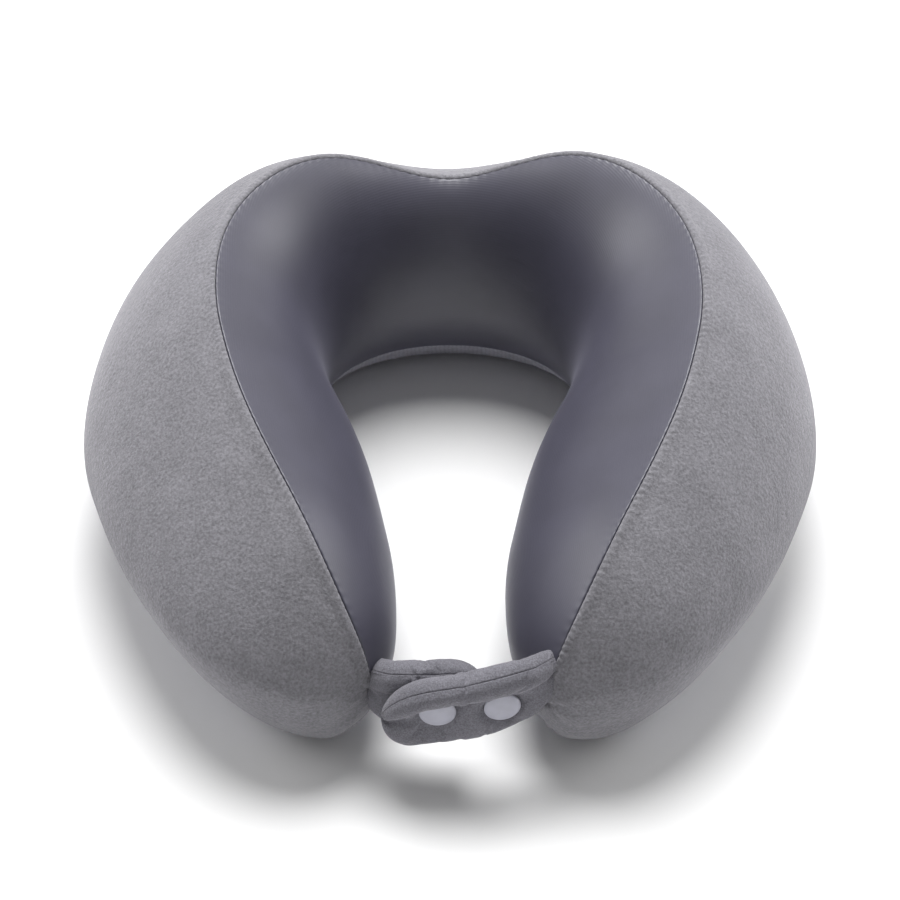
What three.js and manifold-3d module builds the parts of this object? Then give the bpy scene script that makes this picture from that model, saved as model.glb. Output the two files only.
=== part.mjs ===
// A u shaped neck pillow: a moulded foam core in a zipped two-fabric cover, with two snap straps in front.
// Millimetres, +Z up, arms towards -Y, origin under the middle of the bounding box.
import * as THREE from "three";
import { mergeVertices } from "three/addons/utils/BufferGeometryUtils.js";
import Module from "manifold-3d";

const wasm = await Module();
wasm.setup();

const { PI, sin, cos, hypot, floor, min, pow } = Math;
const RAD = PI / 180;

// Plan centreline of one half: an arc round the neck, then a wider arc along the arm to its tip.
const BACK_RADIUS = 102.5;
const BACK_CENTRE_Y = 1.6;
const BACK_SWEEP = 103.5 * RAD;
const ARM_RADIUS = 232.5;
const HALF_LENGTH = 320;
// The tip closes over CAP_LENGTH as a superellipse round a point at TIP_HEIGHT.
const CAP_LENGTH = 57;
const CAP_POWER = 2.68;
const TIP_HEIGHT = 37;

// Section across the centreline at seven even stations from the middle of the back to the tip.
const INNER_BULGE = [31.5, 31, 43.5, 58.5, 65.5, 53.5, 32]; // how far it stands in towards the neck
const OUTER_BULGE = [48, 48, 48, 48, 45.5, 44, 33.5]; // how far it stands out
const CREST_SHIFT = [-15.5, -6.5, -3.5, -8, -5.5, -6, 4]; // crest seam, outwards from the centreline
const CREST_HEIGHT = [94, 129.5, 128.5, 126.5, 115, 100, 80];
const INNER_BULGE_HEIGHT = [49.5, 50.5, 50.5, 50, 48.5, 45, 40.5];
const OUTER_BULGE_HEIGHT = [43.5, 43.5, 43.5, 43.5, 49, 48.5, 48];
const SEAM_LEAN = [0, 1, 2, 3.5, 4.5, 5, 5]; // crest seam and tip sit this far towards +X on both arms
const INNER_SLOPE = 25.5 * RAD; // how steeply the inner panel meets the crest seam
const OUTER_SLOPE = 20.5 * RAD;
const SIDE_FULLNESS = 0.4; // length of the curve handles up the sides, as a share of the rise
const TOP_FULLNESS = 0.27; // and over the top
const INNER_FOOT = 33; // the flat base starts this far in from the inner bulge
const OUTER_FOOT_SHARE = 0.73; // and this share of the outer bulge in from it
const FOOT_HANDLE = 10.5; // length of the curve handles along the ground
const INNER_UNDERCUT = 0.46; // length of the handles under the bulges, as a share of their height
const OUTER_UNDERCUT = 0.4;

// Places round the section: 0 inner bulge, 1 crest, 2 outer bulge, 3 to 4 the flat base, 5 inner bulge again.
const CREST_SEAM = 1;
const OUTER_SEAM = 2.48;
const INNER_SEAM = 4.38;
const INNER_SEAM_RISE = { by: 0.2, fromRow: 0.25, toRow: 0.62 }; // it climbs the wall round the back
const SEAM_GAP = 0.006; // half the gap at a seam, as a share of a stretch between two places
const ZIP_GAP = 0.075;
const ZIP_GAP_PAST_END = 6; // degrees that the wide gap runs on past the zip
const SECTION_PLACES = [0.2, 0.4, 0.6, 0.8, 1, 1.2, 1.4, 1.6, 1.8, 2, 2.25, 2.48, 2.75, 3, 4, 4.38, 4.7, 5];
const UNDER_PLACES = [2.25, 2.5, 2.75, 3, 4]; // columns of the outer panel below the outer bulge
const BASE_PLACES = [2.75, 3, 4]; // columns of the base panel between its seams
const CROWD = 0.04; // columns that would pass a seam crowd up this far apart beside it
const NORMAL_STEP = 0.004; // step in row and place from which a normal is worked out
// The base ends before the tips: over these rows the outer seam crosses under the arm to the inner seam.
const TIP_WRAP = { fromRow: 1.15, toRow: 1.6, toPlace: 4.3 };

// Rows from the middle of the back to the tip: even rows along the body, then rows by angle over the cap.
const BODY_ROWS = 14;
const CAP_ANGLES = [26, 46, 61, 73, 82, 87.3];

// Layers, as depths below the outer surface.
const VELOUR_DEPTH = 2;
const SPANDEX_DEPTH = 1.2;
const BASE_DEPTH = 1.6;
const LINER_OUTER_DEPTH = 3.7;
const LINER_INNER_DEPTH = 4.5;
const LINER_SLIT = 0.05;
const CORE_DEPTH = 5;

// Zip in the outer seam round the back, centred on the back arc. Its places are across and out of the tape.
const ZIP_HALF_ANGLE = 54;
const ZIP_STEPS = 24;
const ZIP_TEETH = { across: [0.6, 2], out: [-1.2, 0.2] };
const ZIP_TAPE = { across: [2.3, 4.3], out: [-0.8, -0.2] };
const ZIP_STOP = { across: 1.9, out: [-1.2, 0.6], length: 2.4 };
const SLIDER_REST_ANGLE = 50;
const SLIDER = {
  length: 9, width: 6.4, plate: 1.1, out: 0.7, underWidth: 5, under: -1.9, underPlate: 0.9,
  neckLength: 3, neckWidth: 0.6, neckAt: -2,
};
const JOIN = 0.2; // parts of the slider run this far into each other
const BRIDGE = { span: 7.2, width: 1, leg: 0.8, clear: 2, beam: 0.7 };
const PULL = { length: 14, width: 4.6, thick: 0.8, window: 1.8, windowLength: 4.8, bar: 1, hole: 1.1 };

// Care label sewn into the outer seam past the end of the zip, lying against the base.
const LABEL = { from: 0.63, to: 0.73, places: [2.5, 2.6, 2.7], out: [0.4, 0.9] };

// Straps: upright tongues from the tips, the front one over the rear one.
const STRAP_HEIGHT = 35.5; // at the round end
const ROOT_NARROWING = 4.3; // the root is lower by this much at its top and at its bottom
const STRAP_STANDOFF = 1.9; // the root hangs this far off the tip, where its cloth bends
const STRAP_TAPER = { over: 9, from: 0.45 }; // the root is this share of the full thickness
const FRONT_STRAP_END = new THREE.Vector2(-25.3, -146);
const FRONT_STRAP_BOW = 2.4;
const FRONT_MIDDLE = { root: 49.3, snap: 38.2 }; // height of the strap's middle at its root and at its far snap
const REAR_MIDDLE = { root: 35.7, snap: 36.2 };
const SNAP_HEIGHT = 40.5;
const INNER_SNAP_HEIGHT = 41.7;
const CLOTH = 0.8;
const FIT_GAP = 0.3;
const FRONT_PADDING = 2.4;
const REAR_PADDING = 1.8;
const SNAP_FROM_END = 20.6;
const SNAP_PITCH = 24;
const REAR_PAST_SNAP = 18.2;
const SNAP = {
  capRadius: 7, capRim: 0.7, capRise: 1.4, pin: 1, pinHole: 1.3,
  seat: 5.7, socket: 2.4, recess: 3.2, recessDepth: 1.5,
  stud: 1.2, studRadius: 5.5, nub: 2.2, nubIn: 1.2, faceGap: 0.4,
};
const DOME = [[0.8, 0.72], [0.45, 0.94]]; // points of a cap's dome, as shares of its radius and its height
const EDGE = 0.4; // cut off the outer edges of the snaps
const LATHE_STEPS = 20;
const PIN_HOLE_STEPS = 12;

// Value of a uniform cubic B-spline of evenly spaced control values, mirrored at the back; s runs 0 to 1.
function spline(values, s, mirror = 1) {
  const last = values.length - 1;
  const control = [mirror * values[1], ...values, 2 * values[last] - values[last - 1]];
  const x = min(s, 1) * last;
  const i = min(floor(x), last - 1);
  const f = x - i;
  const weights = [(1 - f) ** 3, 3 * f ** 3 - 6 * f ** 2 + 4, -3 * f ** 3 + 3 * f ** 2 + 3 * f + 1, f ** 3];
  return weights.reduce((sum, w, k) => sum + w * control[i + k], 0) / 6;
}

// Point of the right half's centreline, with the direction across it (heading 0 is +Y, turning towards +X).
function centreline(length) {
  const backLength = BACK_RADIUS * BACK_SWEEP;
  const onBack = length < backLength;
  const heading = onBack ? length / BACK_RADIUS : BACK_SWEEP + (length - backLength) / ARM_RADIUS;
  const radius = onBack ? BACK_RADIUS : ARM_RADIUS;
  const shift = onBack ? 0 : BACK_RADIUS - ARM_RADIUS;
  const x = shift * sin(BACK_SWEEP) + radius * sin(heading);
  const y = BACK_CENTRE_Y + shift * cos(BACK_SWEEP) + radius * cos(heading);
  return { x, y, heading };
}

function max0(value) {
  return value > 0 ? value : 0;
}

// Share of the way from one value to another, eased at both ends.
function eased(value, from, to) {
  const share = min(1, max0((value - from) / (to - from)));
  return share * share * (3 - 2 * share);
}

function bezier(a, b, c, d, t) {
  const curve = new THREE.CubicBezierCurve(...[a, b, c, d].map((p) => new THREE.Vector2(...p)));
  return curve.getPoint(t);
}

// Point of the section at share s of the half length: x is outwards from the centreline, y is height.
function sectionPoint(s, place, lean) {
  const [inner, outer, crestHeight, innerHeight, outerHeight] = [
    INNER_BULGE, OUTER_BULGE, CREST_HEIGHT, INNER_BULGE_HEIGHT, OUTER_BULGE_HEIGHT,
  ].map((values) => spline(values, s));
  const crest = [spline(CREST_SHIFT, s) + lean, crestHeight];
  const a = [-inner, innerHeight];
  const b = [outer, outerHeight];
  const footOut = [outer * (1 - OUTER_FOOT_SHARE), 0];
  const footIn = [INNER_FOOT - inner, 0];
  const overIn = TOP_FULLNESS * hypot(crest[0] - a[0], crest[1] - a[1]);
  const overOut = TOP_FULLNESS * hypot(b[0] - crest[0], b[1] - crest[1]);
  const stretch = min(floor(place), 4);
  const t = place - stretch;
  if (stretch === 0) {
    const rise = [a[0], a[1] + SIDE_FULLNESS * (crest[1] - a[1])];
    const over = [crest[0] - overIn * cos(INNER_SLOPE), crest[1] - overIn * sin(INNER_SLOPE)];
    return bezier(a, rise, over, crest, t);
  }
  if (stretch === 1) {
    const rise = [b[0], b[1] + SIDE_FULLNESS * (crest[1] - b[1])];
    const over = [crest[0] + overOut * cos(OUTER_SLOPE), crest[1] - overOut * sin(OUTER_SLOPE)];
    return bezier(crest, over, rise, b, t);
  }
  if (stretch === 2) {
    return bezier(b, [b[0], b[1] * (1 - OUTER_UNDERCUT)], [footOut[0] + FOOT_HANDLE, 0], footOut, t);
  }
  if (stretch === 3) {
    return new THREE.Vector2(footOut[0] + (footIn[0] - footOut[0]) * t, 0);
  }
  return bezier(footIn, [footIn[0] - FOOT_HANDLE, 0], [a[0], a[1] * (1 - INNER_UNDERCUT)], a, t);
}

// Point of the outer surface. side is 1 for +X.
// row runs 0 to 1 along the body and 1 to 2 by angle over the cap.
function surfacePoint(side, row, place) {
  const angle = (row > 1 ? row - 1 : 0) * (PI / 2);
  const bodyLength = HALF_LENGTH - CAP_LENGTH;
  const length = row > 1 ? bodyLength + CAP_LENGTH * pow(sin(angle), 2 / CAP_POWER) : row * bodyLength;
  const shrink = pow(max0(cos(angle)), 2 / CAP_POWER);
  const s = length / HALF_LENGTH;
  const lean = side * spline(SEAM_LEAN, s, -1);
  const { x, y, heading } = centreline(length);
  const point = sectionPoint(s, place > 5 ? place - 5 : place, lean);
  const out = lean + (point.x - lean) * shrink;
  const height = TIP_HEIGHT + (point.y - TIP_HEIGHT) * shrink;
  return new THREE.Vector3(side * (x + out * sin(heading)), y + out * cos(heading), height);
}

// Outward unit normal, from small steps along and round the surface.
function surfaceNormal(side, row, place) {
  const step = NORMAL_STEP;
  const crosses = row - step < 0; // the step back from the middle of the back lands on the other side
  const back = crosses ? surfacePoint(-side, step - row, place) : surfacePoint(side, row - step, place);
  const along = surfacePoint(side, row + step, place).sub(back).multiplyScalar(side);
  const before = place - step < 0 ? place - step + 5 : place - step;
  const round = surfacePoint(side, row, place + step).sub(surfacePoint(side, row, before));
  return along.cross(round).normalize();
}

// Point at a depth below the outer surface (negative is outside it). Panels meet in a mitre at the crest seam.
function layerPoint({ side, row }, place, depth) {
  const mitred = Math.abs(place - CREST_SEAM) < 2 * SEAM_GAP ? CREST_SEAM : place;
  return surfacePoint(side, row, place).addScaledVector(surfaceNormal(side, row, mitred), -depth);
}

// Rows from the left tip round the back to the right tip, both tips left open.
function layerRows() {
  const body = Array.from({ length: BODY_ROWS + 1 }, (_, i) => i / BODY_ROWS);
  const half = [...body, ...CAP_ANGLES.map((angle) => 1 + angle / 90)];
  const left = half.slice(1).reverse().map((row) => ({ side: -1, row }));
  return [...left, ...half.map((row) => ({ side: 1, row }))];
}

// Closed geometry from points and triangles, its faces turned outwards.
function solid(points, triangles) {
  const volume = triangles.reduce((sum, [a, b, c]) =>
    sum + points[a].dot(new THREE.Vector3().crossVectors(points[b], points[c])), 0);
  const faces = volume > 0 ? triangles : triangles.map(([a, b, c]) => [a, c, b]);
  return new THREE.BufferGeometry().setFromPoints(points).setIndex(faces.flat());
}

function quad(a, b, c, d) {
  return [[a, b, c], [a, c, d]];
}

// Solid between two matching sheets of points, each sheet[row][column], closed round all four edges.
function slab(front, back) {
  const rows = front.length;
  const columns = front[0].length;
  const points = [...front.flat(), ...back.flat()];
  const at = (layer, i, j) => layer * rows * columns + i * columns + j;
  const triangles = [];
  for (let i = 0; i + 1 < rows; i++) {
    for (let j = 0; j + 1 < columns; j++) {
      triangles.push(...quad(at(0, i, j), at(0, i + 1, j), at(0, i + 1, j + 1), at(0, i, j + 1)));
      triangles.push(...quad(at(1, i, j), at(1, i, j + 1), at(1, i + 1, j + 1), at(1, i + 1, j)));
    }
    for (const [j, turn] of [[0, false], [columns - 1, true]]) {
      const edge = quad(at(0, i, j), at(1, i, j), at(1, i + 1, j), at(0, i + 1, j));
      triangles.push(...(turn ? edge.map(([a, b, c]) => [a, c, b]) : edge));
    }
  }
  for (let j = 0; j + 1 < columns; j++) {
    for (const [i, turn] of [[0, false], [rows - 1, true]]) {
      const edge = quad(at(0, i, j), at(0, i, j + 1), at(1, i, j + 1), at(1, i, j));
      triangles.push(...(turn ? edge.map(([a, b, c]) => [a, c, b]) : edge));
    }
  }
  return solid(points, triangles);
}

// Solid through a list of matching rings of points, its ends closed to a middle point each.
function loft(rings, startMiddle, endMiddle) {
  const count = rings[0].length;
  const points = [...rings.flat(), startMiddle, endMiddle];
  const start = points.length - 2;
  const triangles = [];
  for (let j = 0; j < count; j++) {
    const next = (j + 1) % count;
    for (let i = 0; i + 1 < rings.length; i++) {
      const [a, b] = [i * count, (i + 1) * count];
      triangles.push(...quad(a + j, b + j, b + next, a + next));
    }
    const last = (rings.length - 1) * count;
    triangles.push([start, j, next], [start + 1, last + next, last + j]);
  }
  return solid(points, triangles);
}

function middle(ring) {
  return ring.reduce((sum, point) => sum.add(point), new THREE.Vector3()).divideScalar(ring.length);
}

// The cover's panels and the liner: sheets between two depths, over a run of places round the section.
function layer(places, outerDepth, innerDepth, rows = layerRows()) {
  const sheet = (depth) => rows.map((row) => places(row).map((place) => layerPoint(row, place, depth)));
  return slab(sheet(outerDepth), sheet(innerDepth));
}

// Half the gap in the outer seam: wide enough for the zip round the back, and a stitch line elsewhere.
function outerSeamGap({ row }) {
  const angle = (row * (HALF_LENGTH - CAP_LENGTH)) / BACK_RADIUS / RAD;
  return angle < ZIP_HALF_ANGLE + ZIP_GAP_PAST_END ? ZIP_GAP : SEAM_GAP;
}

function placesBetween(from, to) {
  const turned = to > 5 ? SECTION_PLACES.map((place) => (place < from ? place + 5 : place)) : SECTION_PLACES;
  const inside = turned.filter((place) => place > from + CROWD && place < to - CROWD);
  return [from, ...inside.sort((a, b) => a - b), to];
}

// Place of the outer seam in a row: level along the body, then crossing under the tip.
function outerSeamPlace({ row }) {
  return OUTER_SEAM + (TIP_WRAP.toPlace - OUTER_SEAM) * eased(row, TIP_WRAP.fromRow, TIP_WRAP.toRow);
}

// Place of the inner seam in a row: under the arms, and a little way up the wall round the back.
function innerSeamPlace({ row }) {
  return INNER_SEAM + INNER_SEAM_RISE.by * (1 - eased(row, INNER_SEAM_RISE.fromRow, INNER_SEAM_RISE.toRow));
}

function velourPlaces(row) {
  const seam = outerSeamPlace(row) - outerSeamGap(row);
  const under = UNDER_PLACES.map((place, i) => min(place, seam - CROWD * (UNDER_PLACES.length - i)));
  return [...placesBetween(CREST_SEAM + SEAM_GAP, 2), ...under, seam];
}

function basePlaces(row) {
  const start = outerSeamPlace(row) + outerSeamGap(row);
  const between = BASE_PLACES.map((place, i) => Math.max(place, start + CROWD * (i + 1)));
  const end = innerSeamPlace(row) - SEAM_GAP;
  const last = between.at(-1);
  return [start, ...between, ...[1, 2].map((i) => last + ((end - last) * i) / 3), end];
}

function spandexPlaces(row) {
  const seam = innerSeamPlace(row) + SEAM_GAP;
  return [seam, Math.max(4.7, seam + CROWD), ...placesBetween(4.9, 5 + CREST_SEAM - SEAM_GAP)];
}

function linerPlaces() {
  return placesBetween(3.5 + LINER_SLIT, 8.5 - LINER_SLIT).map((place) => (place > 5 ? place - 5 : place));
}

function tipPoint(side, depth) {
  const { heading } = centreline(HALF_LENGTH);
  const inwards = new THREE.Vector3(-side * cos(heading), sin(heading), 0);
  return surfacePoint(side, 2, CREST_SEAM).addScaledVector(inwards, depth);
}

function foamCore() {
  const ring = (row) => SECTION_PLACES.map((place) => layerPoint(row, place, CORE_DEPTH));
  return loft(layerRows().map(ring), tipPoint(-1, CORE_DEPTH), tipPoint(1, CORE_DEPTH));
}

// The zip's own axes at an angle round the back: across the tape (up), out of the cover, and along the track.
function zipFrame(degrees) {
  const origin = surfacePoint(1, 0, OUTER_SEAM);
  const radius = origin.y - BACK_CENTRE_Y;
  const radial = new THREE.Vector3(sin(degrees * RAD), cos(degrees * RAD), 0);
  const normal = surfaceNormal(1, 0, OUTER_SEAM);
  const out = radial.clone().multiplyScalar(normal.y).setZ(normal.z);
  const across = radial.clone().multiplyScalar(-normal.z).setZ(normal.y);
  const place = radial.clone().multiplyScalar(radius).add(new THREE.Vector3(0, BACK_CENTRE_Y, origin.z));
  return { place, across, out, along: new THREE.Vector3().crossVectors(across, out) };
}

function zipPoint(frame, across, out) {
  return frame.place.clone().addScaledVector(frame.across, across).addScaledVector(frame.out, out);
}

// A strip of rectangular section along the track, between two angles.
function zipStrip(across, out, fromAngle, toAngle, steps) {
  const corners = [[across[0], out[0]], [across[1], out[0]], [across[1], out[1]], [across[0], out[1]]];
  const rings = Array.from({ length: steps + 1 }, (_, i) => {
    const frame = zipFrame(fromAngle + ((toAngle - fromAngle) * i) / steps);
    return corners.map(([a, b]) => zipPoint(frame, a, b));
  });
  return loft(rings, middle(rings[0]), middle(rings[steps]));
}

function zipRow({ across, out }, side) {
  return zipStrip(across.map((a) => a * side), out, -ZIP_HALF_ANGLE, ZIP_HALF_ANGLE, ZIP_STEPS);
}

function zipStop(side) {
  const start = ZIP_HALF_ANGLE + 0.3;
  const end = start + ZIP_STOP.length / (BACK_RADIUS * RAD);
  return zipStrip([-ZIP_STOP.across, ZIP_STOP.across], ZIP_STOP.out, side * start, side * end, 1);
}

// Group whose X runs along the track, Y across the tape and Z out of it.
function zipGroup(degrees) {
  const frame = zipFrame(degrees);
  const group = new THREE.Group();
  group.matrix.makeBasis(frame.along, frame.across, frame.out).setPosition(frame.place);
  group.matrix.decompose(group.position, group.quaternion, group.scale);
  return group;
}

function placedBox(width, depth, height, x, y, z) {
  return new THREE.BoxGeometry(width, depth, height).translate(x, y, z);
}

function toManifold(geometry) {
  const plain = geometry.clone();
  ["normal", "uv"].forEach((name) => plain.deleteAttribute(name));
  const merged = mergeVertices(plain, 1e-4);
  return new wasm.Manifold(new wasm.Mesh({
    numProp: 3,
    vertProperties: merged.attributes.position.array,
    triVerts: new Uint32Array(merged.index.array),
  }));
}

function toGeometry(manifold) {
  const mesh = manifold.getMesh();
  return new THREE.BufferGeometry()
    .setAttribute("position", new THREE.BufferAttribute(new Float32Array(mesh.vertProperties), 3))
    .setIndex(new THREE.BufferAttribute(new Uint32Array(mesh.triVerts), 1));
}

function joined(...geometries) {
  return toGeometry(geometries.map(toManifold).reduce((all, next) => all.add(next)));
}

function cut(geometry, ...tools) {
  return toGeometry(tools.map(toManifold).reduce((left, tool) => left.subtract(tool), toManifold(geometry)));
}

// Slider: a plate each side of the teeth, a neck between them, and a bridge that holds the pull tab.
function zipSlider() {
  const top = SLIDER.out + SLIDER.plate;
  const upper = placedBox(SLIDER.length, SLIDER.width, SLIDER.plate, 0, 0, SLIDER.out + SLIDER.plate / 2);
  const underTop = SLIDER.under;
  const underMiddle = underTop - SLIDER.underPlate / 2;
  const lower = placedBox(SLIDER.length, SLIDER.underWidth, SLIDER.underPlate, 0, 0, underMiddle);
  const neckHeight = SLIDER.out - underTop + 2 * JOIN;
  const neckMiddle = (SLIDER.out + underTop) / 2;
  const neck = placedBox(SLIDER.neckLength, SLIDER.neckWidth, neckHeight, SLIDER.neckAt, 0, neckMiddle);
  const legHeight = BRIDGE.clear + BRIDGE.beam + JOIN;
  const legX = (BRIDGE.span - BRIDGE.leg) / 2;
  const legs = [-legX, legX].map((x) =>
    placedBox(BRIDGE.leg, BRIDGE.width, legHeight, x, 0, top - JOIN + legHeight / 2));
  const beam = placedBox(BRIDGE.span, BRIDGE.width, BRIDGE.beam, 0, 0, top + BRIDGE.clear + BRIDGE.beam / 2);
  return joined(upper, lower, neck, ...legs, beam);
}

// Pull tab: a rounded plate whose window goes over the bridge. Its end bar turns under the bridge's beam.
function zipPull() {
  const half = PULL.width / 2;
  const end = PULL.length - half;
  const outline = new THREE.Shape();
  outline.moveTo(-PULL.bar / 2, -half);
  outline.lineTo(end, -half);
  outline.absarc(end, 0, half, -PI / 2, PI / 2, false);
  outline.lineTo(-PULL.bar / 2, half);
  outline.closePath();
  const window = new THREE.Path();
  window.moveTo(PULL.bar / 2, -PULL.window / 2);
  window.lineTo(PULL.bar / 2, PULL.window / 2);
  window.lineTo(PULL.windowLength, PULL.window / 2);
  window.lineTo(PULL.windowLength, -PULL.window / 2);
  window.closePath();
  const hole = new THREE.Path();
  hole.absarc(end, 0, PULL.hole, 0, 2 * PI, true);
  outline.holes.push(window, hole);
  const solid = { depth: PULL.thick, bevelEnabled: false, curveSegments: 6 };
  const plate = new THREE.ExtrudeGeometry(outline, solid);
  return plate.translate(0, 0, -PULL.thick / 2);
}

function careLabel() {
  const rows = [LABEL.from, LABEL.to].map((row) => ({ side: 1, row }));
  const sheet = (out) => rows.map((row) => LABEL.places.map((place) => layerPoint(row, place, -out)));
  return slab(sheet(LABEL.out[1]), sheet(LABEL.out[0]));
}

// A strap's middle line in plan: an arc given by its start, start direction and signed radius.
// A positive radius turns left.
function arcLine(start, direction, radius) {
  return (distance) => {
    const turn = distance / radius;
    const left = new THREE.Vector2(-direction.y, direction.x);
    const point = start.clone()
      .addScaledVector(direction, radius * sin(turn))
      .addScaledVector(left, radius * (1 - cos(turn)));
    return { point, tangent: direction.clone().rotateAround(new THREE.Vector2(), turn) };
  };
}

function strapRoot(side) {
  const tip = tipPoint(side, -STRAP_STANDOFF);
  return new THREE.Vector2(tip.x, tip.y);
}

function frontStrapLine() {
  const start = strapRoot(1);
  const chord = FRONT_STRAP_END.clone().sub(start);
  const radius = chord.length() ** 2 / 8 / FRONT_STRAP_BOW;
  const half = Math.asin(chord.length() / 2 / radius);
  const direction = chord.normalize().rotateAround(new THREE.Vector2(), half);
  return { line: arcLine(start, direction, -radius), length: 2 * half * radius };
}

// The rear strap passes squarely behind the outer snap and runs back to the other tip on one arc.
function rearStrapLine(snapPoint, snapTangent) {
  const start = strapRoot(-1);
  const back = start.clone().sub(snapPoint);
  const along = snapTangent.clone().negate();
  const left = new THREE.Vector2(-along.y, along.x);
  const radius = back.lengthSq() / 2 / back.dot(left);
  const turn = 2 * Math.asin(back.length() / 2 / radius);
  const direction = along.clone().rotateAround(new THREE.Vector2(), turn).negate();
  const toSnap = turn * radius;
  return { line: arcLine(start, direction, -radius), toSnap, length: toSnap + REAR_PAST_SNAP };
}

// One layer of a strap, between two signed offsets to the front of its middle line, narrowing at its round end.
function strapLayer({ line, length, heightAt, facing }, offsets, inset) {
  const round = STRAP_HEIGHT / 2;
  const stations = [0, 0.25, 0.5, 0.75, 1].map((share) => share * (length - round));
  stations.push(...[25, 45, 62, 76].map((angle) => length - round + round * sin(angle * RAD)));
  const rings = stations.map((distance) => {
    const { point, tangent } = line(min(distance, length - inset));
    const front = new THREE.Vector2(-tangent.y, tangent.x).multiplyScalar(facing);
    const past = max0(distance - (length - round)) / round;
    const narrowing = ROOT_NARROWING * (1 - distance / length);
    const half = (round - narrowing - inset) * Math.sqrt(1 - past * past);
    const thin = min(1, STRAP_TAPER.from + ((1 - STRAP_TAPER.from) * distance) / STRAP_TAPER.over);
    const corner = (offset, rise) => {
      const plan = point.clone().addScaledVector(front, offset * thin);
      return new THREE.Vector3(plan.x, plan.y, heightAt(distance) + rise);
    };
    const [back, face] = offsets;
    return [corner(back, -half), corner(face, -half), corner(face, half), corner(back, half)];
  });
  return loft(rings, middle(rings[0]), middle(rings.at(-1)));
}

// A group that carries lathe-turned snap parts. Its Y axis points to the front of the strap.
function snapGroup(strap, [distance, height]) {
  const { point, tangent } = strap.line(distance);
  const front = new THREE.Vector3(-tangent.y, tangent.x, 0).multiplyScalar(strap.facing);
  const group = new THREE.Group();
  group.position.set(point.x, point.y, height);
  group.quaternion.setFromUnitVectors(new THREE.Vector3(0, 1, 0), front);
  return group;
}

function lathe(profile) {
  return new THREE.LatheGeometry(profile.map(([x, y]) => new THREE.Vector2(x, y)), LATHE_STEPS);
}

// Cap with its pin: a shallow dome outside the strap, from its seat at `seat` to the pin's end at `end`.
function snapCap(seat, end, direction) {
  const { capRadius, capRim, capRise, pin } = SNAP;
  const height = capRim + capRise;
  const dome = DOME.map(([radius, rise]) => [capRadius * radius, seat + direction * height * rise]);
  const profile = [
    [0, end], [pin, end], [pin, seat], [capRadius - EDGE, seat], [capRadius, seat + direction * EDGE],
    [capRadius, seat + direction * capRim], ...dome, [0, seat + direction * height],
  ];
  return lathe(direction > 0 ? profile : profile.reverse());
}

// Socket: a ring behind the strap with a recess that takes the stud's nub.
function snapSocket(seat) {
  const { seat: radius, socket, recess, recessDepth, pinHole } = SNAP;
  const bottom = seat - socket;
  return lathe([
    [pinHole, seat], [pinHole, bottom + recessDepth], [recess, bottom + recessDepth], [recess, bottom],
    [radius - EDGE, bottom], [radius, bottom + EDGE], [radius, seat], [pinHole, seat],
  ]);
}

// Stud: a disc in front of the rear strap, with the nub that holds in the socket.
function snapStud(face) {
  const { pinHole, nub, nubIn, faceGap, studRadius, stud } = SNAP;
  const tip = face + faceGap + nubIn;
  return lathe([
    [pinHole, face - stud], [studRadius, face - stud], [studRadius, face - EDGE], [studRadius - EDGE, face],
    [nub, face], [nub, tip], [pinHole, tip], [pinHole, face - stud],
  ]);
}

function material(colour, roughness, metalness = 0) {
  return new THREE.MeshStandardMaterial({ color: colour, roughness, metalness });
}

const MATERIALS = {
  velour: material(0x7d7c86, 0.95),
  spandex: material(0x5f5e6c, 0.7),
  knit: material(0x8b8a94, 0.9),
  foam: material(0xe6dfc8, 1),
  liner: material(0xdedee2, 0.9),
  padding: material(0xeeeeee, 1),
  tape: material(0x5b5a66, 0.85),
  coil: material(0x55545f, 0.45),
  slider: material(0x6a6a72, 0.35, 0.9),
  snap: material(0xdcdce4, 0.35),
  label: material(0xf2f2f2, 0.8),
};

function named(name, geometry, look) {
  const mesh = new THREE.Mesh(geometry, MATERIALS[look]);
  mesh.name = name;
  return mesh;
}

function addCover(part) {
  const baseRows = layerRows().filter(({ row }) => row < TIP_WRAP.toRow);
  part.add(
    named("foam_core", foamCore(), "foam"),
    named("foam_liner", layer(linerPlaces, LINER_OUTER_DEPTH, LINER_INNER_DEPTH), "liner"),
    named("velour_outer_panel", layer(velourPlaces, 0, VELOUR_DEPTH), "velour"),
    named("spandex_inner_panel", layer(spandexPlaces, 0, SPANDEX_DEPTH), "spandex"),
    named("base_panel", layer(basePlaces, 0, BASE_DEPTH, baseRows), "knit"),
    named("care_label", careLabel(), "label"),
  );
}

function addZip(part) {
  for (const [level, side] of [["upper", 1], ["lower", -1]]) {
    part.add(named("zip_tape_" + level, zipRow(ZIP_TAPE, side), "tape"));
    part.add(named("zip_teeth_" + level, zipRow(ZIP_TEETH, side), "coil"));
  }
  part.add(named("zip_stop_right", zipStop(1), "slider"), named("zip_stop_left", zipStop(-1), "slider"));
  const carriage = zipGroup(SLIDER_REST_ANGLE);
  const pull = named("zip_pull_tab", zipPull(), "slider");
  pull.position.z = SLIDER.out + SLIDER.plate + BRIDGE.clear / 2;
  carriage.add(named("zip_slider", zipSlider(), "slider"), pull);
  part.add(carriage);
}

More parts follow.
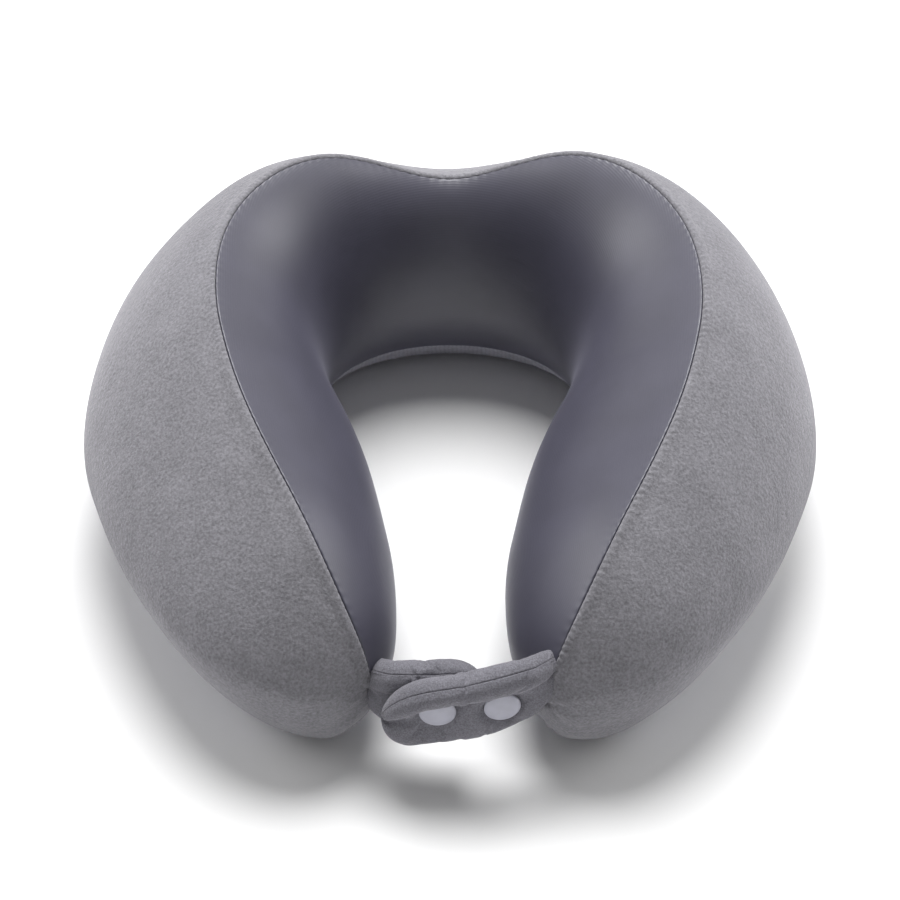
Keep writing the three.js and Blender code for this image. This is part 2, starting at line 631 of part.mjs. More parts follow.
// Two cloth layers with padding between them, all drilled where the snaps go through.
function addStrapLayers(part, strap, padding, snaps) {
  const half = padding / 2;
  const cloth = [half + FIT_GAP, half + FIT_GAP + CLOTH];
  const pins = snaps.map((snap) => {
    const group = snapGroup(strap, snap);
    group.updateMatrixWorld();
    const drill = new THREE.CylinderGeometry(SNAP.pinHole, SNAP.pinHole, STRAP_HEIGHT, PIN_HOLE_STEPS);
    return drill.applyMatrix4(group.matrixWorld);
  });
  const layers = [
    ["face", cloth, 0, "velour"],
    ["padding", [-half, half], 1, "padding"],
    ["back", [-cloth[1], -cloth[0]], 0, "velour"],
  ];
  for (const [name, offsets, inset, look] of layers) {
    part.add(named(strap.name + "_" + name, cut(strapLayer(strap, offsets, inset), ...pins), look));
  }
}

// Height of a strap's middle: it runs straight from its root to the far snap and on.
function strapHeight({ root, snap }, toSnap) {
  return (distance) => root + ((snap - root) * distance) / toSnap;
}

function addStraps(part) {
  const frontSeat = FRONT_PADDING / 2 + 2 * FIT_GAP + CLOTH;
  const rearSeat = REAR_PADDING / 2 + 2 * FIT_GAP + CLOTH;
  const front = { name: "front_strap", facing: 1, ...frontStrapLine() };
  const outerSnap = front.length - SNAP_FROM_END;
  front.heightAt = strapHeight(FRONT_MIDDLE, outerSnap);
  const snaps = {
    outer: [outerSnap, SNAP_HEIGHT],
    inner: [outerSnap - SNAP_PITCH, INNER_SNAP_HEIGHT],
  };
  addStrapLayers(part, front, FRONT_PADDING, Object.values(snaps));
  for (const [name, place] of Object.entries(snaps)) {
    const group = snapGroup(front, place);
    const pinEnd = -frontSeat - SNAP.socket + SNAP.recessDepth;
    group.add(named("front_cap_" + name, snapCap(frontSeat, pinEnd, 1), "snap"));
    group.add(named("front_socket_" + name, snapSocket(-frontSeat), "snap"));
    part.add(group);
  }

  const studFace = -frontSeat - SNAP.socket - SNAP.faceGap;
  const behind = studFace - SNAP.stud - rearSeat;
  const { point, tangent } = front.line(outerSnap);
  const frontward = new THREE.Vector2(-tangent.y, tangent.x);
  const meeting = point.clone().addScaledVector(frontward, behind);
  const rear = { name: "rear_strap", facing: -1, ...rearStrapLine(meeting, tangent.clone().negate()) };
  rear.heightAt = strapHeight(REAR_MIDDLE, rear.toSnap);
  const place = [rear.toSnap, SNAP_HEIGHT];
  addStrapLayers(part, rear, REAR_PADDING, [place]);
  const group = snapGroup(rear, place);
  group.add(named("rear_stud", snapStud(rearSeat + SNAP.stud), "snap"));
  group.add(named("rear_cap", snapCap(-rearSeat, rearSeat + SNAP.stud + SNAP.faceGap, -1), "snap"));
  part.add(group);
}

const pillow = new THREE.Group();
addCover(pillow);
addZip(pillow);
addStraps(pillow);

export default pillow;
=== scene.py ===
import math

import bmesh
import bpy
import numpy as np
from bpy.props import FloatProperty, FloatVectorProperty, IntProperty, PointerProperty
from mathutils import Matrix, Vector


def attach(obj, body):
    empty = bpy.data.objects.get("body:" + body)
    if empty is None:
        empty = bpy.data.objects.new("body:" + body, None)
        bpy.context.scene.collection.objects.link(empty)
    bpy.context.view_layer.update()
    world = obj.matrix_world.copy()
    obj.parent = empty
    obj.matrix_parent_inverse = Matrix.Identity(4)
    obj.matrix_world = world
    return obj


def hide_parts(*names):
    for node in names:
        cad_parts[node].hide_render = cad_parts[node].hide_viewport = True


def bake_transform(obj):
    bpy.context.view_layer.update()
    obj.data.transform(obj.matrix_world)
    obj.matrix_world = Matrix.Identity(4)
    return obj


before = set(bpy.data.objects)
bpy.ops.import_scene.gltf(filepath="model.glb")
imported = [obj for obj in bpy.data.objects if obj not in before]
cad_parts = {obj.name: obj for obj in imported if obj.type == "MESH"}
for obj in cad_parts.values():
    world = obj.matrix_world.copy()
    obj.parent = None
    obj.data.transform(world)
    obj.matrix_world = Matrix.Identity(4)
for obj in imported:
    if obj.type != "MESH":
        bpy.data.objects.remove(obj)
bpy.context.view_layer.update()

bl_info = {
    "name": "Neck Pillow",
    "version": (1, 0, 0),
    "blender": (4, 5, 0),
    "location": "View3D > Sidebar > Neck Pillow",
    "description": "Builds a u shaped neck pillow: foam in a zipped two-fabric cover, with snap straps",
    "category": "Add Mesh",
}

MM = 0.001

# Plan centreline of one half: an arc round the neck, then a wider arc along the arm to its tip.
BACK_RADIUS = 102.5 * MM
BACK_CENTRE_Y = 1.6 * MM
BACK_SWEEP = math.radians(103.5)
ARM_RADIUS = 232.5 * MM
HALF_LENGTH = 320 * MM
# The tip closes over CAP_LENGTH as a superellipse round a point at TIP_HEIGHT.
CAP_LENGTH = 57 * MM
CAP_POWER = 2.68
TIP_HEIGHT = 37 * MM
BODY_LENGTH = HALF_LENGTH - CAP_LENGTH

# Section across the centreline at seven even stations from the middle of the back to the tip.
INNER_BULGE = np.array([31.5, 31, 43.5, 58.5, 65.5, 53.5, 32]) * MM
OUTER_BULGE = np.array([48, 48, 48, 48, 45.5, 44, 33.5]) * MM
CREST_SHIFT = np.array([-15.5, -6.5, -3.5, -8, -5.5, -6, 4]) * MM
CREST_HEIGHT = np.array([94, 129.5, 128.5, 126.5, 115, 100, 80]) * MM
INNER_BULGE_HEIGHT = np.array([49.5, 50.5, 50.5, 50, 48.5, 45, 40.5]) * MM
OUTER_BULGE_HEIGHT = np.array([43.5, 43.5, 43.5, 43.5, 49, 48.5, 48]) * MM
SEAM_LEAN = np.array([0, 1, 2, 3.5, 4.5, 5, 5]) * MM
INNER_SLOPE = math.radians(25.5)
OUTER_SLOPE = math.radians(20.5)
SIDE_FULLNESS = 0.4
TOP_FULLNESS = 0.27
INNER_FOOT = 33 * MM
OUTER_FOOT_SHARE = 0.73
FOOT_HANDLE = 10.5 * MM
INNER_UNDERCUT = 0.46
OUTER_UNDERCUT = 0.4

# Places round the section: 0 inner bulge, 1 crest, 2 outer bulge, 3 to 4 the flat base, 5 inner bulge again.
CREST_SEAM = 1.0
OUTER_SEAM = 2.48
INNER_SEAM = 4.38
INNER_SEAM_RISE = 0.2  # the inner seam climbs this much higher round the back
SEAM_GAP = 0.0012
ZIP_GAP = 0.075
# The base ends before the tips: over these rows the outer seam crosses under the arm to the inner seam.
TIP_WRAP_FROM, TIP_WRAP_TO, TIP_WRAP_PLACE = 1.15, 1.6, 4.3

# Zip round the back, in degrees either side of the middle.
ZIP_HALF_ANGLE = 54.0

# Straps.
STRAP_HEIGHT = 35.5 * MM
ROOT_NARROWING = 4.3 * MM
STRAP_STANDOFF = 1.9 * MM
FRONT_STRAP_END = np.array([-25.3, -146]) * MM
FRONT_STRAP_BOW = 2.4 * MM
# Heights of a strap's middle at its root and at its far snap.
FRONT_MIDDLE = (49.3 * MM, 38.2 * MM)
REAR_MIDDLE = (35.7 * MM, 36.2 * MM)
SNAP_HEIGHT = 40.5 * MM
INNER_SNAP_HEIGHT = 41.7 * MM
SNAP_FROM_END = 20.6 * MM
SNAP_PITCH = 24 * MM
REAR_PAST_SNAP = 18.2 * MM
ROOT_TUCK = 9 * MM  # the strap's root runs this far into the seam
BEND = (-1 * MM, 7 * MM)  # the strap bends between these distances from its root
PINCH = (7 * MM, 9 * MM)  # a snap presses the cloth flat within the first distance, and not past the second
HELD_RADIUS = 7.2 * MM
WADDING_GAP = 1.15 * MM

# Snaps. A seat is the distance from a strap's middle to the face that a snap is pressed on.
FRONT_SEAT = 2.6 * MM
REAR_SEAT = 2.3 * MM
CAP_RADIUS = 7 * MM
PIN_RADIUS = 1 * MM
SOCKET_DEPTH = 2.4 * MM
STUD_DEPTH = 1.2 * MM
SNAP_FACE_GAP = 0.4 * MM

WAVE = math.tau / 20  # a wave texture's scale for bands a metre apart


def linear(hex_colour):
    """Linear RGBA of an sRGB hex colour."""
    parts = [int(hex_colour[i:i + 2], 16) / 255 for i in (0, 2, 4)]
    return (*[c / 12.92 if c <= 0.04045 else ((c + 0.055) / 1.055) ** 2.4 for c in parts], 1.0)


def smooth_step(value, low, high):
    share = np.clip((value - low) / (high - low), 0, 1)
    return share * share * (3 - 2 * share)


# ---------------------------------------------------------------- the pillow's own surface

def spline(values, share, mirror=1):
    """Uniform cubic B-spline of evenly spaced values, mirrored at its start; share runs 0 to 1."""
    control = np.concatenate([[mirror * values[1]], values, [2 * values[-1] - values[-2]]])
    last = len(values) - 1
    x = np.clip(share, 0, 1) * last
    i = np.minimum(x.astype(int), last - 1)
    f = x - i
    weights = ((1 - f) ** 3, 3 * f ** 3 - 6 * f ** 2 + 4, -3 * f ** 3 + 3 * f ** 2 + 3 * f + 1, f ** 3)
    return sum(w * control[i + k] for k, w in enumerate(weights)) / 6


def centreline(length):
    """Point and heading of the right half's centreline: one arc, then a wider one with the same tangent."""
    back_length = BACK_RADIUS * BACK_SWEEP
    on_back = length < back_length
    heading = np.where(on_back, length / BACK_RADIUS, BACK_SWEEP + (length - back_length) / ARM_RADIUS)
    radius = np.where(on_back, BACK_RADIUS, ARM_RADIUS)
    shift = np.where(on_back, 0, BACK_RADIUS - ARM_RADIUS)
    x = shift * math.sin(BACK_SWEEP) + radius * np.sin(heading)
    y = BACK_CENTRE_Y + shift * math.cos(BACK_SWEEP) + radius * np.cos(heading)
    return x, y, heading


def section(share, place, lean):
    """Point of the section: five cubic runs, from the inner bulge over the crest to the flat base."""
    inner, outer = spline(INNER_BULGE, share), spline(OUTER_BULGE, share)
    top = spline(CREST_HEIGHT, share)
    crest = spline(CREST_SHIFT, share) + lean
    inner_height, outer_height = spline(INNER_BULGE_HEIGHT, share), spline(OUTER_BULGE_HEIGHT, share)
    foot_out, foot_in = outer * (1 - OUTER_FOOT_SHARE), INNER_FOOT - inner
    over_in = TOP_FULLNESS * np.hypot(crest + inner, top - inner_height)
    over_out = TOP_FULLNESS * np.hypot(outer - crest, outer_height - top)
    ground = np.zeros_like(inner)
    runs = (
        ((-inner, inner_height), (-inner, inner_height + SIDE_FULLNESS * (top - inner_height)),
         (crest - over_in * math.cos(INNER_SLOPE), top - over_in * math.sin(INNER_SLOPE)), (crest, top)),
        ((crest, top), (crest + over_out * math.cos(OUTER_SLOPE), top - over_out * math.sin(OUTER_SLOPE)),
         (outer, outer_height + SIDE_FULLNESS * (top - outer_height)), (outer, outer_height)),
        ((outer, outer_height), (outer, outer_height * (1 - OUTER_UNDERCUT)),
         (foot_out + FOOT_HANDLE, ground), (foot_out, ground)),
        ((foot_out, ground), (foot_out * 2 / 3 + foot_in / 3, ground),
         (foot_out / 3 + foot_in * 2 / 3, ground), (foot_in, ground)),
        ((foot_in, ground), (foot_in - FOOT_HANDLE, ground),
         (-inner, inner_height * (1 - INNER_UNDERCUT)), (-inner, inner_height)),
    )
    run = np.minimum(place.astype(int), 4)
    t = place - run
    weights = ((1 - t) ** 3, 3 * t * (1 - t) ** 2, 3 * t * t * (1 - t), t ** 3)
    out, height = (
        sum(w * np.choose(run, [r[k][axis] for r in runs]) for k, w in enumerate(weights)) for axis in (0, 1)
    )
    return out, height


def surface(row, place):
    """Point of the pillow. row is minus on the left. Its size runs 0 to 1 along the body and 1 to 2 over the
    cap, by angle: a superellipse that closes the section in on the tip."""
    row, place = np.broadcast_arrays(np.asarray(row, float), np.asarray(place, float))
    side = np.where(row < 0, -1.0, 1.0)
    angle = np.clip(np.abs(row) - 1, 0, 1) * (math.pi / 2)
    length = BODY_LENGTH * np.minimum(np.abs(row), 1) + CAP_LENGTH * np.sin(angle) ** (2 / CAP_POWER)
    shrink = np.maximum(np.cos(angle), 0) ** (2 / CAP_POWER)
    share = length / HALF_LENGTH
    lean = side * spline(SEAM_LEAN, share, mirror=-1)
    x, y, heading = centreline(length)
    out, height = section(share, np.mod(place, 5), lean)
    out = lean + (out - lean) * shrink
    height = TIP_HEIGHT + (height - TIP_HEIGHT) * shrink
    return np.stack([side * (x + out * np.sin(heading)), y + out * np.cos(heading), height], axis=-1)


def unit(vectors):
    return vectors / np.maximum(np.linalg.norm(vectors, axis=-1, keepdims=True), 1e-12)


def tip_direction(side):
    """Outward direction at a tip, level and along the centreline."""
    heading = float(centreline(np.array(HALF_LENGTH))[2])
    return np.array([side * math.cos(heading), -math.sin(heading), 0])


def row_values(body_steps, cap_steps):
    """Signed rows from the left tip to the right tip, evenly spaced on the surface."""
    cap = 1 + np.linspace(0, 1, cap_steps + 1)[1:] ** (CAP_POWER / 2)
    half = np.concatenate([np.linspace(0, 1, body_steps + 1), cap])
    return np.concatenate([-half[:0:-1], half])


def travel_along(points, axis):
    """Distance travelled along a grid of points in one direction."""
    steps = np.linalg.norm(np.diff(points, axis=axis), axis=-1)
    pad = [(1, 0) if k == axis else (0, 0) for k in (0, 1)]
    return np.cumsum(np.pad(steps, pad), axis=axis)


def spaced_places(rows, start, end, edge, count):
    """Places round each row: the distances `edge` in from both ends, and even steps between them."""
    fine = start[:, None] + (end - start)[:, None] * np.linspace(0, 1, 161)
    travel = travel_along(surface(rows[:, None], fine), 1)
    total = travel[:, -1:]
    near = edge * np.minimum(1, 0.3 * total / edge[-1])
    middle = near[:, -1:] + (total - 2 * near[:, -1:]) * np.linspace(0, 1, count + 1)[1:-1]
    wanted = np.concatenate([near, middle, total - near[:, ::-1]], axis=1)
    # Each row's distances are shifted clear of the row before, so that one interpolation serves them all.
    clear = np.arange(len(rows))[:, None] * 1.0
    places = np.interp((wanted + clear).ravel(), (travel + clear).ravel(), fine.ravel())
    return places.reshape(wanted.shape), wanted, total - wanted


def seam_normal(rows, place):
    """Normal along a seam, halfway between the panels that meet there."""
    step = 0.01
    along = np.gradient(surface(rows, np.full_like(rows, place)), axis=0)
    across = surface(rows, np.full_like(rows, place + step)) - surface(rows, np.full_like(rows, place - step))
    return unit(np.cross(along, across))


def panel(rows, start, end, edge, count):
    """A run of the surface between two places, with its normals and each point's distance from both edges."""
    places, from_start, from_end = spaced_places(rows, start, end, edge, count)
    points = surface(rows[:, None], places)
    across = np.gradient(points, axis=1)
    across[:, :2] = (points[:, 3] - points[:, 2])[:, None]
    across[:, -2:] = (points[:, -3] - points[:, -4])[:, None]
    normals = unit(np.cross(np.gradient(points, axis=0), across))
    for end_row, side in ((0, -1), (-1, 1)):
        if abs(rows[end_row]) > 1.999:
            normals[end_row] = tip_direction(side)
    return {"rows": rows, "places": places, "points": points, "normals": normals,
            "from_start": from_start, "from_end": from_end, "along": travel_along(points, 0)}


def turned_edge(distance, radius):
    """How far a panel drops where it rolls over into its seam: a quarter circle of the radius."""
    inside = np.clip(1 - distance / radius, 0, 1)
    return -radius * (1 - np.sqrt(1 - inside ** 2))


def edge_distances(radius, reach):
    """Distances from a seam: two at the edge itself, some round the roll, then growing out to reach."""
    turn = np.radians([20, 38, 56, 74, 90])
    roll = radius * (1 - np.cos(turn))
    out = radius + (reach - radius) * np.linspace(0, 1, 10)[1:] ** 1.3
    return np.concatenate([[0, 0], roll, out])


# ---------------------------------------------------------------- meshes

def make_mesh(name, points, faces, uv=None):
    """Object from points and a list of face arrays, all faces in one array having as many corners."""
    corners = np.concatenate([f.ravel() for f in faces])
    used, corners = np.unique(corners, return_inverse=True)
    points = points.reshape(-1, 3)[used]
    totals = np.concatenate([np.full(len(f), f.shape[1]) for f in faces])
    mesh = bpy.data.meshes.new(name)
    mesh.vertices.add(len(points))
    mesh.vertices.foreach_set("co", points.astype(np.float32).ravel())
    mesh.loops.add(len(corners))
    mesh.loops.foreach_set("vertex_index", corners.astype(np.int32))
    mesh.polygons.add(len(totals))
    mesh.polygons.foreach_set("loop_start", np.concatenate([[0], np.cumsum(totals)[:-1]]).astype(np.int32))
    mesh.polygons.foreach_set("use_smooth", np.ones(len(totals), bool))
    mesh.update(calc_edges=True)
    if uv is not None:
        layer = mesh.uv_layers.new(name="cloth")
        layer.data.foreach_set("uv", uv.reshape(-1, 2)[used][corners].astype(np.float32).ravel())
    mesh.validate()
    piece = bpy.data.objects.new(name, mesh)
    bpy.context.scene.collection.objects.link(piece)
    return piece


def merge_points(piece, distance=1e-6):
    """Joins points that coincide, as at a pole."""
    work = bmesh.new()
    work.from_mesh(piece.data)
    bmesh.ops.remove_doubles(work, verts=work.verts, dist=distance)
    work.to_mesh(piece.data)
    work.free()
    piece.data.polygons.foreach_set("use_smooth", np.ones(len(piece.data.polygons), bool))
    piece.data.update()
    return piece


def face_outwards(piece):
    """Turns the faces of a closed body outwards."""
    work = bmesh.new()
    work.from_mesh(piece.data)
    bmesh.ops.recalc_face_normals(work, faces=work.faces)
    work.to_mesh(piece.data)
    work.free()
    return piece


def grid_faces(rows, columns, wrap_rows=False, wrap_columns=False):
    """Quads of a grid of points, outward where row direction x column direction points out."""
    i = np.arange(rows if wrap_rows else rows - 1)[:, None]
    j = np.arange(columns if wrap_columns else columns - 1)[None, :]
    i2, j2 = (i + 1) % rows, (j + 1) % columns
    quads = [i * columns + j, i2 * columns + j, i2 * columns + j2, i * columns + j2]
    return np.stack(np.broadcast_arrays(*quads), axis=-1).reshape(-1, 4)


def graded_faces(rows, columns, ratio, fine_columns):
    """Faces of a grid that keeps every row in its first columns and one row in `ratio` in the others."""
    grid = np.arange(rows * columns).reshape(rows, columns)
    fine = grid[:, :fine_columns + 1]
    coarse = grid[::ratio, fine_columns + 1:]
    edge = [grid[k:rows - ratio + k:ratio, fine_columns] for k in range(ratio)]
    joint = np.stack([*edge, grid[ratio::ratio, fine_columns], coarse[1:, 0], coarse[:-1, 0]], axis=-1)
    quads = [
        np.stack([g[:-1, :-1], g[1:, :-1], g[1:, 1:], g[:-1, 1:]], axis=-1).reshape(-1, 4)
        for g in (fine, coarse)
    ]
    return [*quads, joint]


def thicken(piece, depth):
    """Gives a cloth sheet its thickness, inwards from the surface that shows."""
    wall = piece.modifiers.new("cloth thickness", "SOLIDIFY")
    wall.thickness = depth
    wall.offset = -1
    wall.use_rim = True
    return piece


def smooth_finish(piece, levels=1):
    """One level of subdivision, the same in the viewport and the render."""
    finish = piece.modifiers.new("smooth", "SUBSURF")
    finish.levels = finish.render_levels = levels
    return piece


def show(piece, material, body, slot, *nodes):
    """Gives a piece its material, its CAD body and the CAD nodes that it stands for."""
    piece.data.materials.clear()
    piece.data.materials.append(material)
    if body:
        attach(piece, body)
    if nodes:
        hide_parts(*nodes)
    return piece


def ripple(*phases):
    """Smooth irregular waves between about -1 and 1, from a few sines whose periods never line up."""
    return sum(np.sin(p) for p in phases) / len(phases)


# ---------------------------------------------------------------- materials

def add(tree, kind, values=None, links=None, **settings):
    """Adds a shader node with its settings, its sockets' constant values, and what its inputs come from."""
    node = tree.nodes.new("ShaderNode" + kind)
    for key, value in settings.items():
        setattr(node, key, value)
    for socket, value in (values or {}).items():
        node.inputs[socket].default_value = value
    for socket, source in (links or {}).items():
        tree.links.new(source, node.inputs[socket])
    return node


def new_material(name):
    material = bpy.data.materials.new(name)
    material.use_nodes = True
    material.node_tree.nodes.clear()
    return material, material.node_tree


def finish_material(tree, values, links):
    shader = add(tree, "BsdfPrincipled", values, links)
    add(tree, "OutputMaterial", links={"Surface": shader.outputs["BSDF"]})


def two_tone(tree, factor, dark, light, low=0.35, high=0.65):
    """Colour that goes from dark to light as the factor goes from low to high."""
    ramp = add(tree, "ValToRGB", links={"Fac": factor})
    ramp.color_ramp.elements[0].position, ramp.color_ramp.elements[0].color = low, dark
    ramp.color_ramp.elements[1].position, ramp.color_ramp.elements[1].color = high, light
    return ramp.outputs["Color"]


def scaled(colour, gain):
    return (*[min(c * gain, 1) for c in colour[:3]], 1)


def velour_material(name, colour, tuft=1.1 * MM, mottle=1.0):
    """Short-pile polyester velour, warp knitted and brushed: matt, mottled at the scale of its tufts."""
    material, tree = new_material(name)
    place = add(tree, "TexCoord").outputs["Object"]
    tufts = add(tree, "TexNoise", {"Scale": 1 / tuft, "Detail": 3.0, "Roughness": 0.6}, {"Vector": place})
    clumps = add(tree, "TexNoise", {"Scale": 1 / (2.6 * tuft), "Detail": 1.0}, {"Vector": place})
    patches = add(tree, "TexNoise", {"Scale": 1 / (16 * MM), "Detail": 3.0, "Roughness": 0.6},
                  {"Vector": place})
    fine = add(tree, "Math", {1: mottle, 2: (1 - mottle) / 2}, {0: tufts.outputs["Fac"]},
               operation="MULTIPLY_ADD")
    tone = add(tree, "Math", {1: 0.3}, {0: patches.outputs["Fac"], 2: fine.outputs[0]},
               operation="MULTIPLY_ADD")
    base = two_tone(tree, tone.outputs[0], scaled(colour, 0.68), scaled(colour, 1.3), 0.42, 0.88)
    height = add(tree, "Math", {}, {0: tufts.outputs["Fac"], 1: clumps.outputs["Fac"]}, operation="ADD")
    bump = add(tree, "Bump", {"Strength": 0.6, "Distance": 0.2 * MM + 0.35 * tuft},
               {"Height": height.outputs[0]})
    finish_material(
        tree,
        {"Roughness": 0.92, "Specular IOR Level": 0.15, "Sheen Weight": 0.55, "Sheen Roughness": 0.45,
         "Sheen Tint": linear("cccacf")},
        {"Base Color": base, "Normal": bump.outputs["Normal"]},
    )
    return material


def jersey_material(name, colour):
    """Fine nylon and elastane jersey: smooth, with a faint low gloss and its wales as fine lines along the
    arm. Real wales are about 0.4 mm apart; they are drawn 1.1 mm apart so that they show."""
    material, tree = new_material(name)
    cloth = add(tree, "UVMap", uv_map="cloth").outputs["UV"]
    place = add(tree, "TexCoord").outputs["Object"]
    wales = add(tree, "TexWave", {"Scale": WAVE / (1.1 * MM), "Distortion": 0.3, "Detail": 1.0},
                {"Vector": cloth}, wave_type="BANDS", bands_direction="X", wave_profile="SIN")
    patches = add(tree, "TexNoise", {"Scale": 1 / (22 * MM), "Detail": 2.0}, {"Vector": place})
    grain = add(tree, "TexNoise", {"Scale": 1 / (0.7 * MM), "Detail": 1.0}, {"Vector": place})
    lines = add(tree, "Math", {1: 0.10}, {0: wales.outputs["Fac"]}, operation="MULTIPLY")
    tone = add(tree, "Math", {}, {0: patches.outputs["Fac"], 1: lines.outputs[0]}, operation="ADD")
    base = two_tone(tree, tone.outputs[0], scaled(colour, 0.93), scaled(colour, 1.07), 0.4, 0.7)
    height = add(tree, "Math", {1: 0.5}, {0: grain.outputs["Fac"], 2: wales.outputs["Fac"]},
                 operation="MULTIPLY_ADD")
    bump = add(tree, "Bump", {"Strength": 0.18, "Distance": 0.12 * MM}, {"Height": height.outputs[0]})
    finish_material(
        tree,
        {"Roughness": 0.45, "Specular IOR Level": 0.9, "Sheen Weight": 0.25, "Sheen Roughness": 0.4,
         "Sheen Tint": linear("a6a5b4")},
        {"Base Color": base, "Normal": bump.outputs["Normal"]},
    )
    return material


def knit_material(name, colour, pitch=1.3 * MM):
    """Plain polyester knit: dull, with rows of small loops; drawn coarser than real so that they show."""
    material, tree = new_material(name)
    cloth = add(tree, "UVMap", uv_map="cloth").outputs["UV"]
    cells = add(tree, "Mapping", {"Scale": (1 / pitch, 1 / (1.4 * pitch), 1)}, {"Vector": cloth})
    loops = add(tree, "TexVoronoi", {"Scale": 1.0, "Randomness": 0.35}, {"Vector": cells.outputs["Vector"]})
    base = two_tone(tree, loops.outputs["Distance"], scaled(colour, 1.12), scaled(colour, 0.78), 0.1, 0.7)
    bump = add(tree, "Bump", {"Strength": 0.5, "Distance": 0.3 * MM}, {"Height": loops.outputs["Distance"]},
               invert=True)
    finish_material(tree, {"Roughness": 0.9, "Specular IOR Level": 0.2, "Sheen Weight": 0.2},
                    {"Base Color": base, "Normal": bump.outputs["Normal"]})
    return material


def foam_material(name, colour):
    """Open-cell memory foam, moulded: dull and finely pitted."""
    material, tree = new_material(name)
    place = add(tree, "TexCoord").outputs["Object"]
    cells = add(tree, "TexVoronoi", {"Scale": 1 / (0.9 * MM)}, {"Vector": place})
    base = two_tone(tree, cells.outputs["Distance"], scaled(colour, 0.82), colour, 0.1, 0.5)
    bump = add(tree, "Bump", {"Strength": 0.4, "Distance": 0.3 * MM}, {"Height": cells.outputs["Distance"]})
    finish_material(tree, {"Roughness": 0.95, "Specular IOR Level": 0.2},
                    {"Base Color": base, "Normal": bump.outputs["Normal"]})
    return material


def tape_material(name, colour):
    """Woven polyester zip tape: a herringbone of fine threads, about 0.6 mm apart."""
    material, tree = new_material(name)
    cloth = add(tree, "UVMap", uv_map="cloth").outputs["UV"]
    threads = add(tree, "TexWave", {"Scale": WAVE / (0.6 * MM)}, {"Vector": cloth},
                  wave_type="BANDS", bands_direction="DIAGONAL", wave_profile="SIN")
    base = two_tone(tree, threads.outputs["Fac"], scaled(colour, 0.75), scaled(colour, 1.15), 0.2, 0.8)
    bump = add(tree, "Bump", {"Strength": 0.4, "Distance": 0.15 * MM}, {"Height": threads.outputs["Fac"]})
    finish_material(tree, {"Roughness": 0.8, "Specular IOR Level": 0.25},
                    {"Base Color": base, "Normal": bump.outputs["Normal"]})
    return material


def moulded_material(name, colour, roughness, grain, values=None):
    """Smooth moulded or enamelled finish: a colour that drifts a little, and a gloss that is not even."""
    material, tree = new_material(name)
    place = add(tree, "TexCoord").outputs["Object"]
    drift = add(tree, "TexNoise", {"Scale": 1 / (5 * MM), "Detail": 2.0}, {"Vector": place})
    fine = add(tree, "TexNoise", {"Scale": 1 / grain, "Detail": 2.0}, {"Vector": place})
    base = two_tone(tree, drift.outputs["Fac"], scaled(colour, 0.94), scaled(colour, 1.03))
    rough = add(tree, "MapRange", {"To Min": roughness - 0.05, "To Max": roughness + 0.08},
                {"Value": fine.outputs["Fac"]})
    bump = add(tree, "Bump", {"Strength": 0.08, "Distance": 0.05 * MM}, {"Height": fine.outputs["Fac"]})
    links = {"Base Color": base, "Roughness": rough.outputs["Result"], "Normal": bump.outputs["Normal"]}
    finish_material(tree, values or {}, links)
    return material


def make_materials(colours):
    """Every finish of the pillow, by name."""
    return {
        "velour": velour_material("short pile velour", colours.velour),
        "strap velour": velour_material("brushed strap velour", colours.strap, 0.6 * MM, 1.3),
        "jersey": jersey_material("stretch jersey", colours.jersey),
        # Partly painted light: the base colour is lighter than the knit, standing in for floor bounce light
        # on the strip that shows.
        "base": knit_material("base knit and painted bounce light", colours.base),
        "liner": knit_material("white tubular knit", colours.liner),
        "foam": foam_material("memory foam", colours.foam),
        "wadding": foam_material("polyester wadding", colours.liner),
        "tape": tape_material("woven zip tape", colours.tape),
        # Drawn nylon monofilament, wound and set: low sheen, slightly see-through in life.
        "coil": moulded_material("nylon coil", colours.coil, 0.38, 0.6 * MM),
        # Baked enamel on die-cast zinc: dark, with a soft gloss.
        "enamel": moulded_material("enamelled zinc", colours.enamel, 0.34, 0.8 * MM, {"Coat Weight": 0.15}),
        # Injection moulded acetal: milky, so light goes a little way in, and a satin gloss.
        "snap": moulded_material("moulded acetal", colours.snap, 0.36, 1.5 * MM,
                                 {"Subsurface Weight": 0.2, "Subsurface Scale": 1.5 * MM,
                                  "Subsurface Radius": (1.0, 1.0, 1.1), "Specular IOR Level": 0.5}),
        # Satin weave polyester ribbon: white with a silky sheen.
        "satin": tape_material("satin ribbon", colours.satin),
        # Spun polyester sewing thread.
        "thread": moulded_material("sewing thread", colours.velour, 0.7, 0.3 * MM),
    }


MATERIALS = {}


# ---------------------------------------------------------------- cover

def back_angle(rows):
    """Angle round the back, in degrees, at which each row stands."""
    return np.degrees(np.abs(rows) * BODY_LENGTH / BACK_RADIUS)


def outer_seam_gap(rows):
    """Half the gap in the outer seam: the zip's opening round the back, closing to a stitch line past it."""
    past_zip = back_angle(rows) - ZIP_HALF_ANGLE
    return ZIP_GAP + (SEAM_GAP - ZIP_GAP) * smooth_step(past_zip, 1.5, 4.5)


def outer_seam_place(rows):
    """Place of the outer seam: level along the body, then crossing under the tip."""
    return OUTER_SEAM + (TIP_WRAP_PLACE - OUTER_SEAM) * smooth_step(np.abs(rows), TIP_WRAP_FROM, TIP_WRAP_TO)


def inner_seam_place(rows):
    """Place of the seam between jersey and base: under the arms, and climbing on to the wall at the back."""
    return INNER_SEAM + INNER_SEAM_RISE * (1 - smooth_step(np.abs(rows), 0.25, 0.62))


def cloth_uv(sheet):
    """Cloth coordinates in metres: across from the start edge, and along from the middle of the back."""
    middle = sheet["along"][len(sheet["along"]) // 2]
    return np.stack([sheet["from_start"], sheet["along"] - middle], axis=-1)


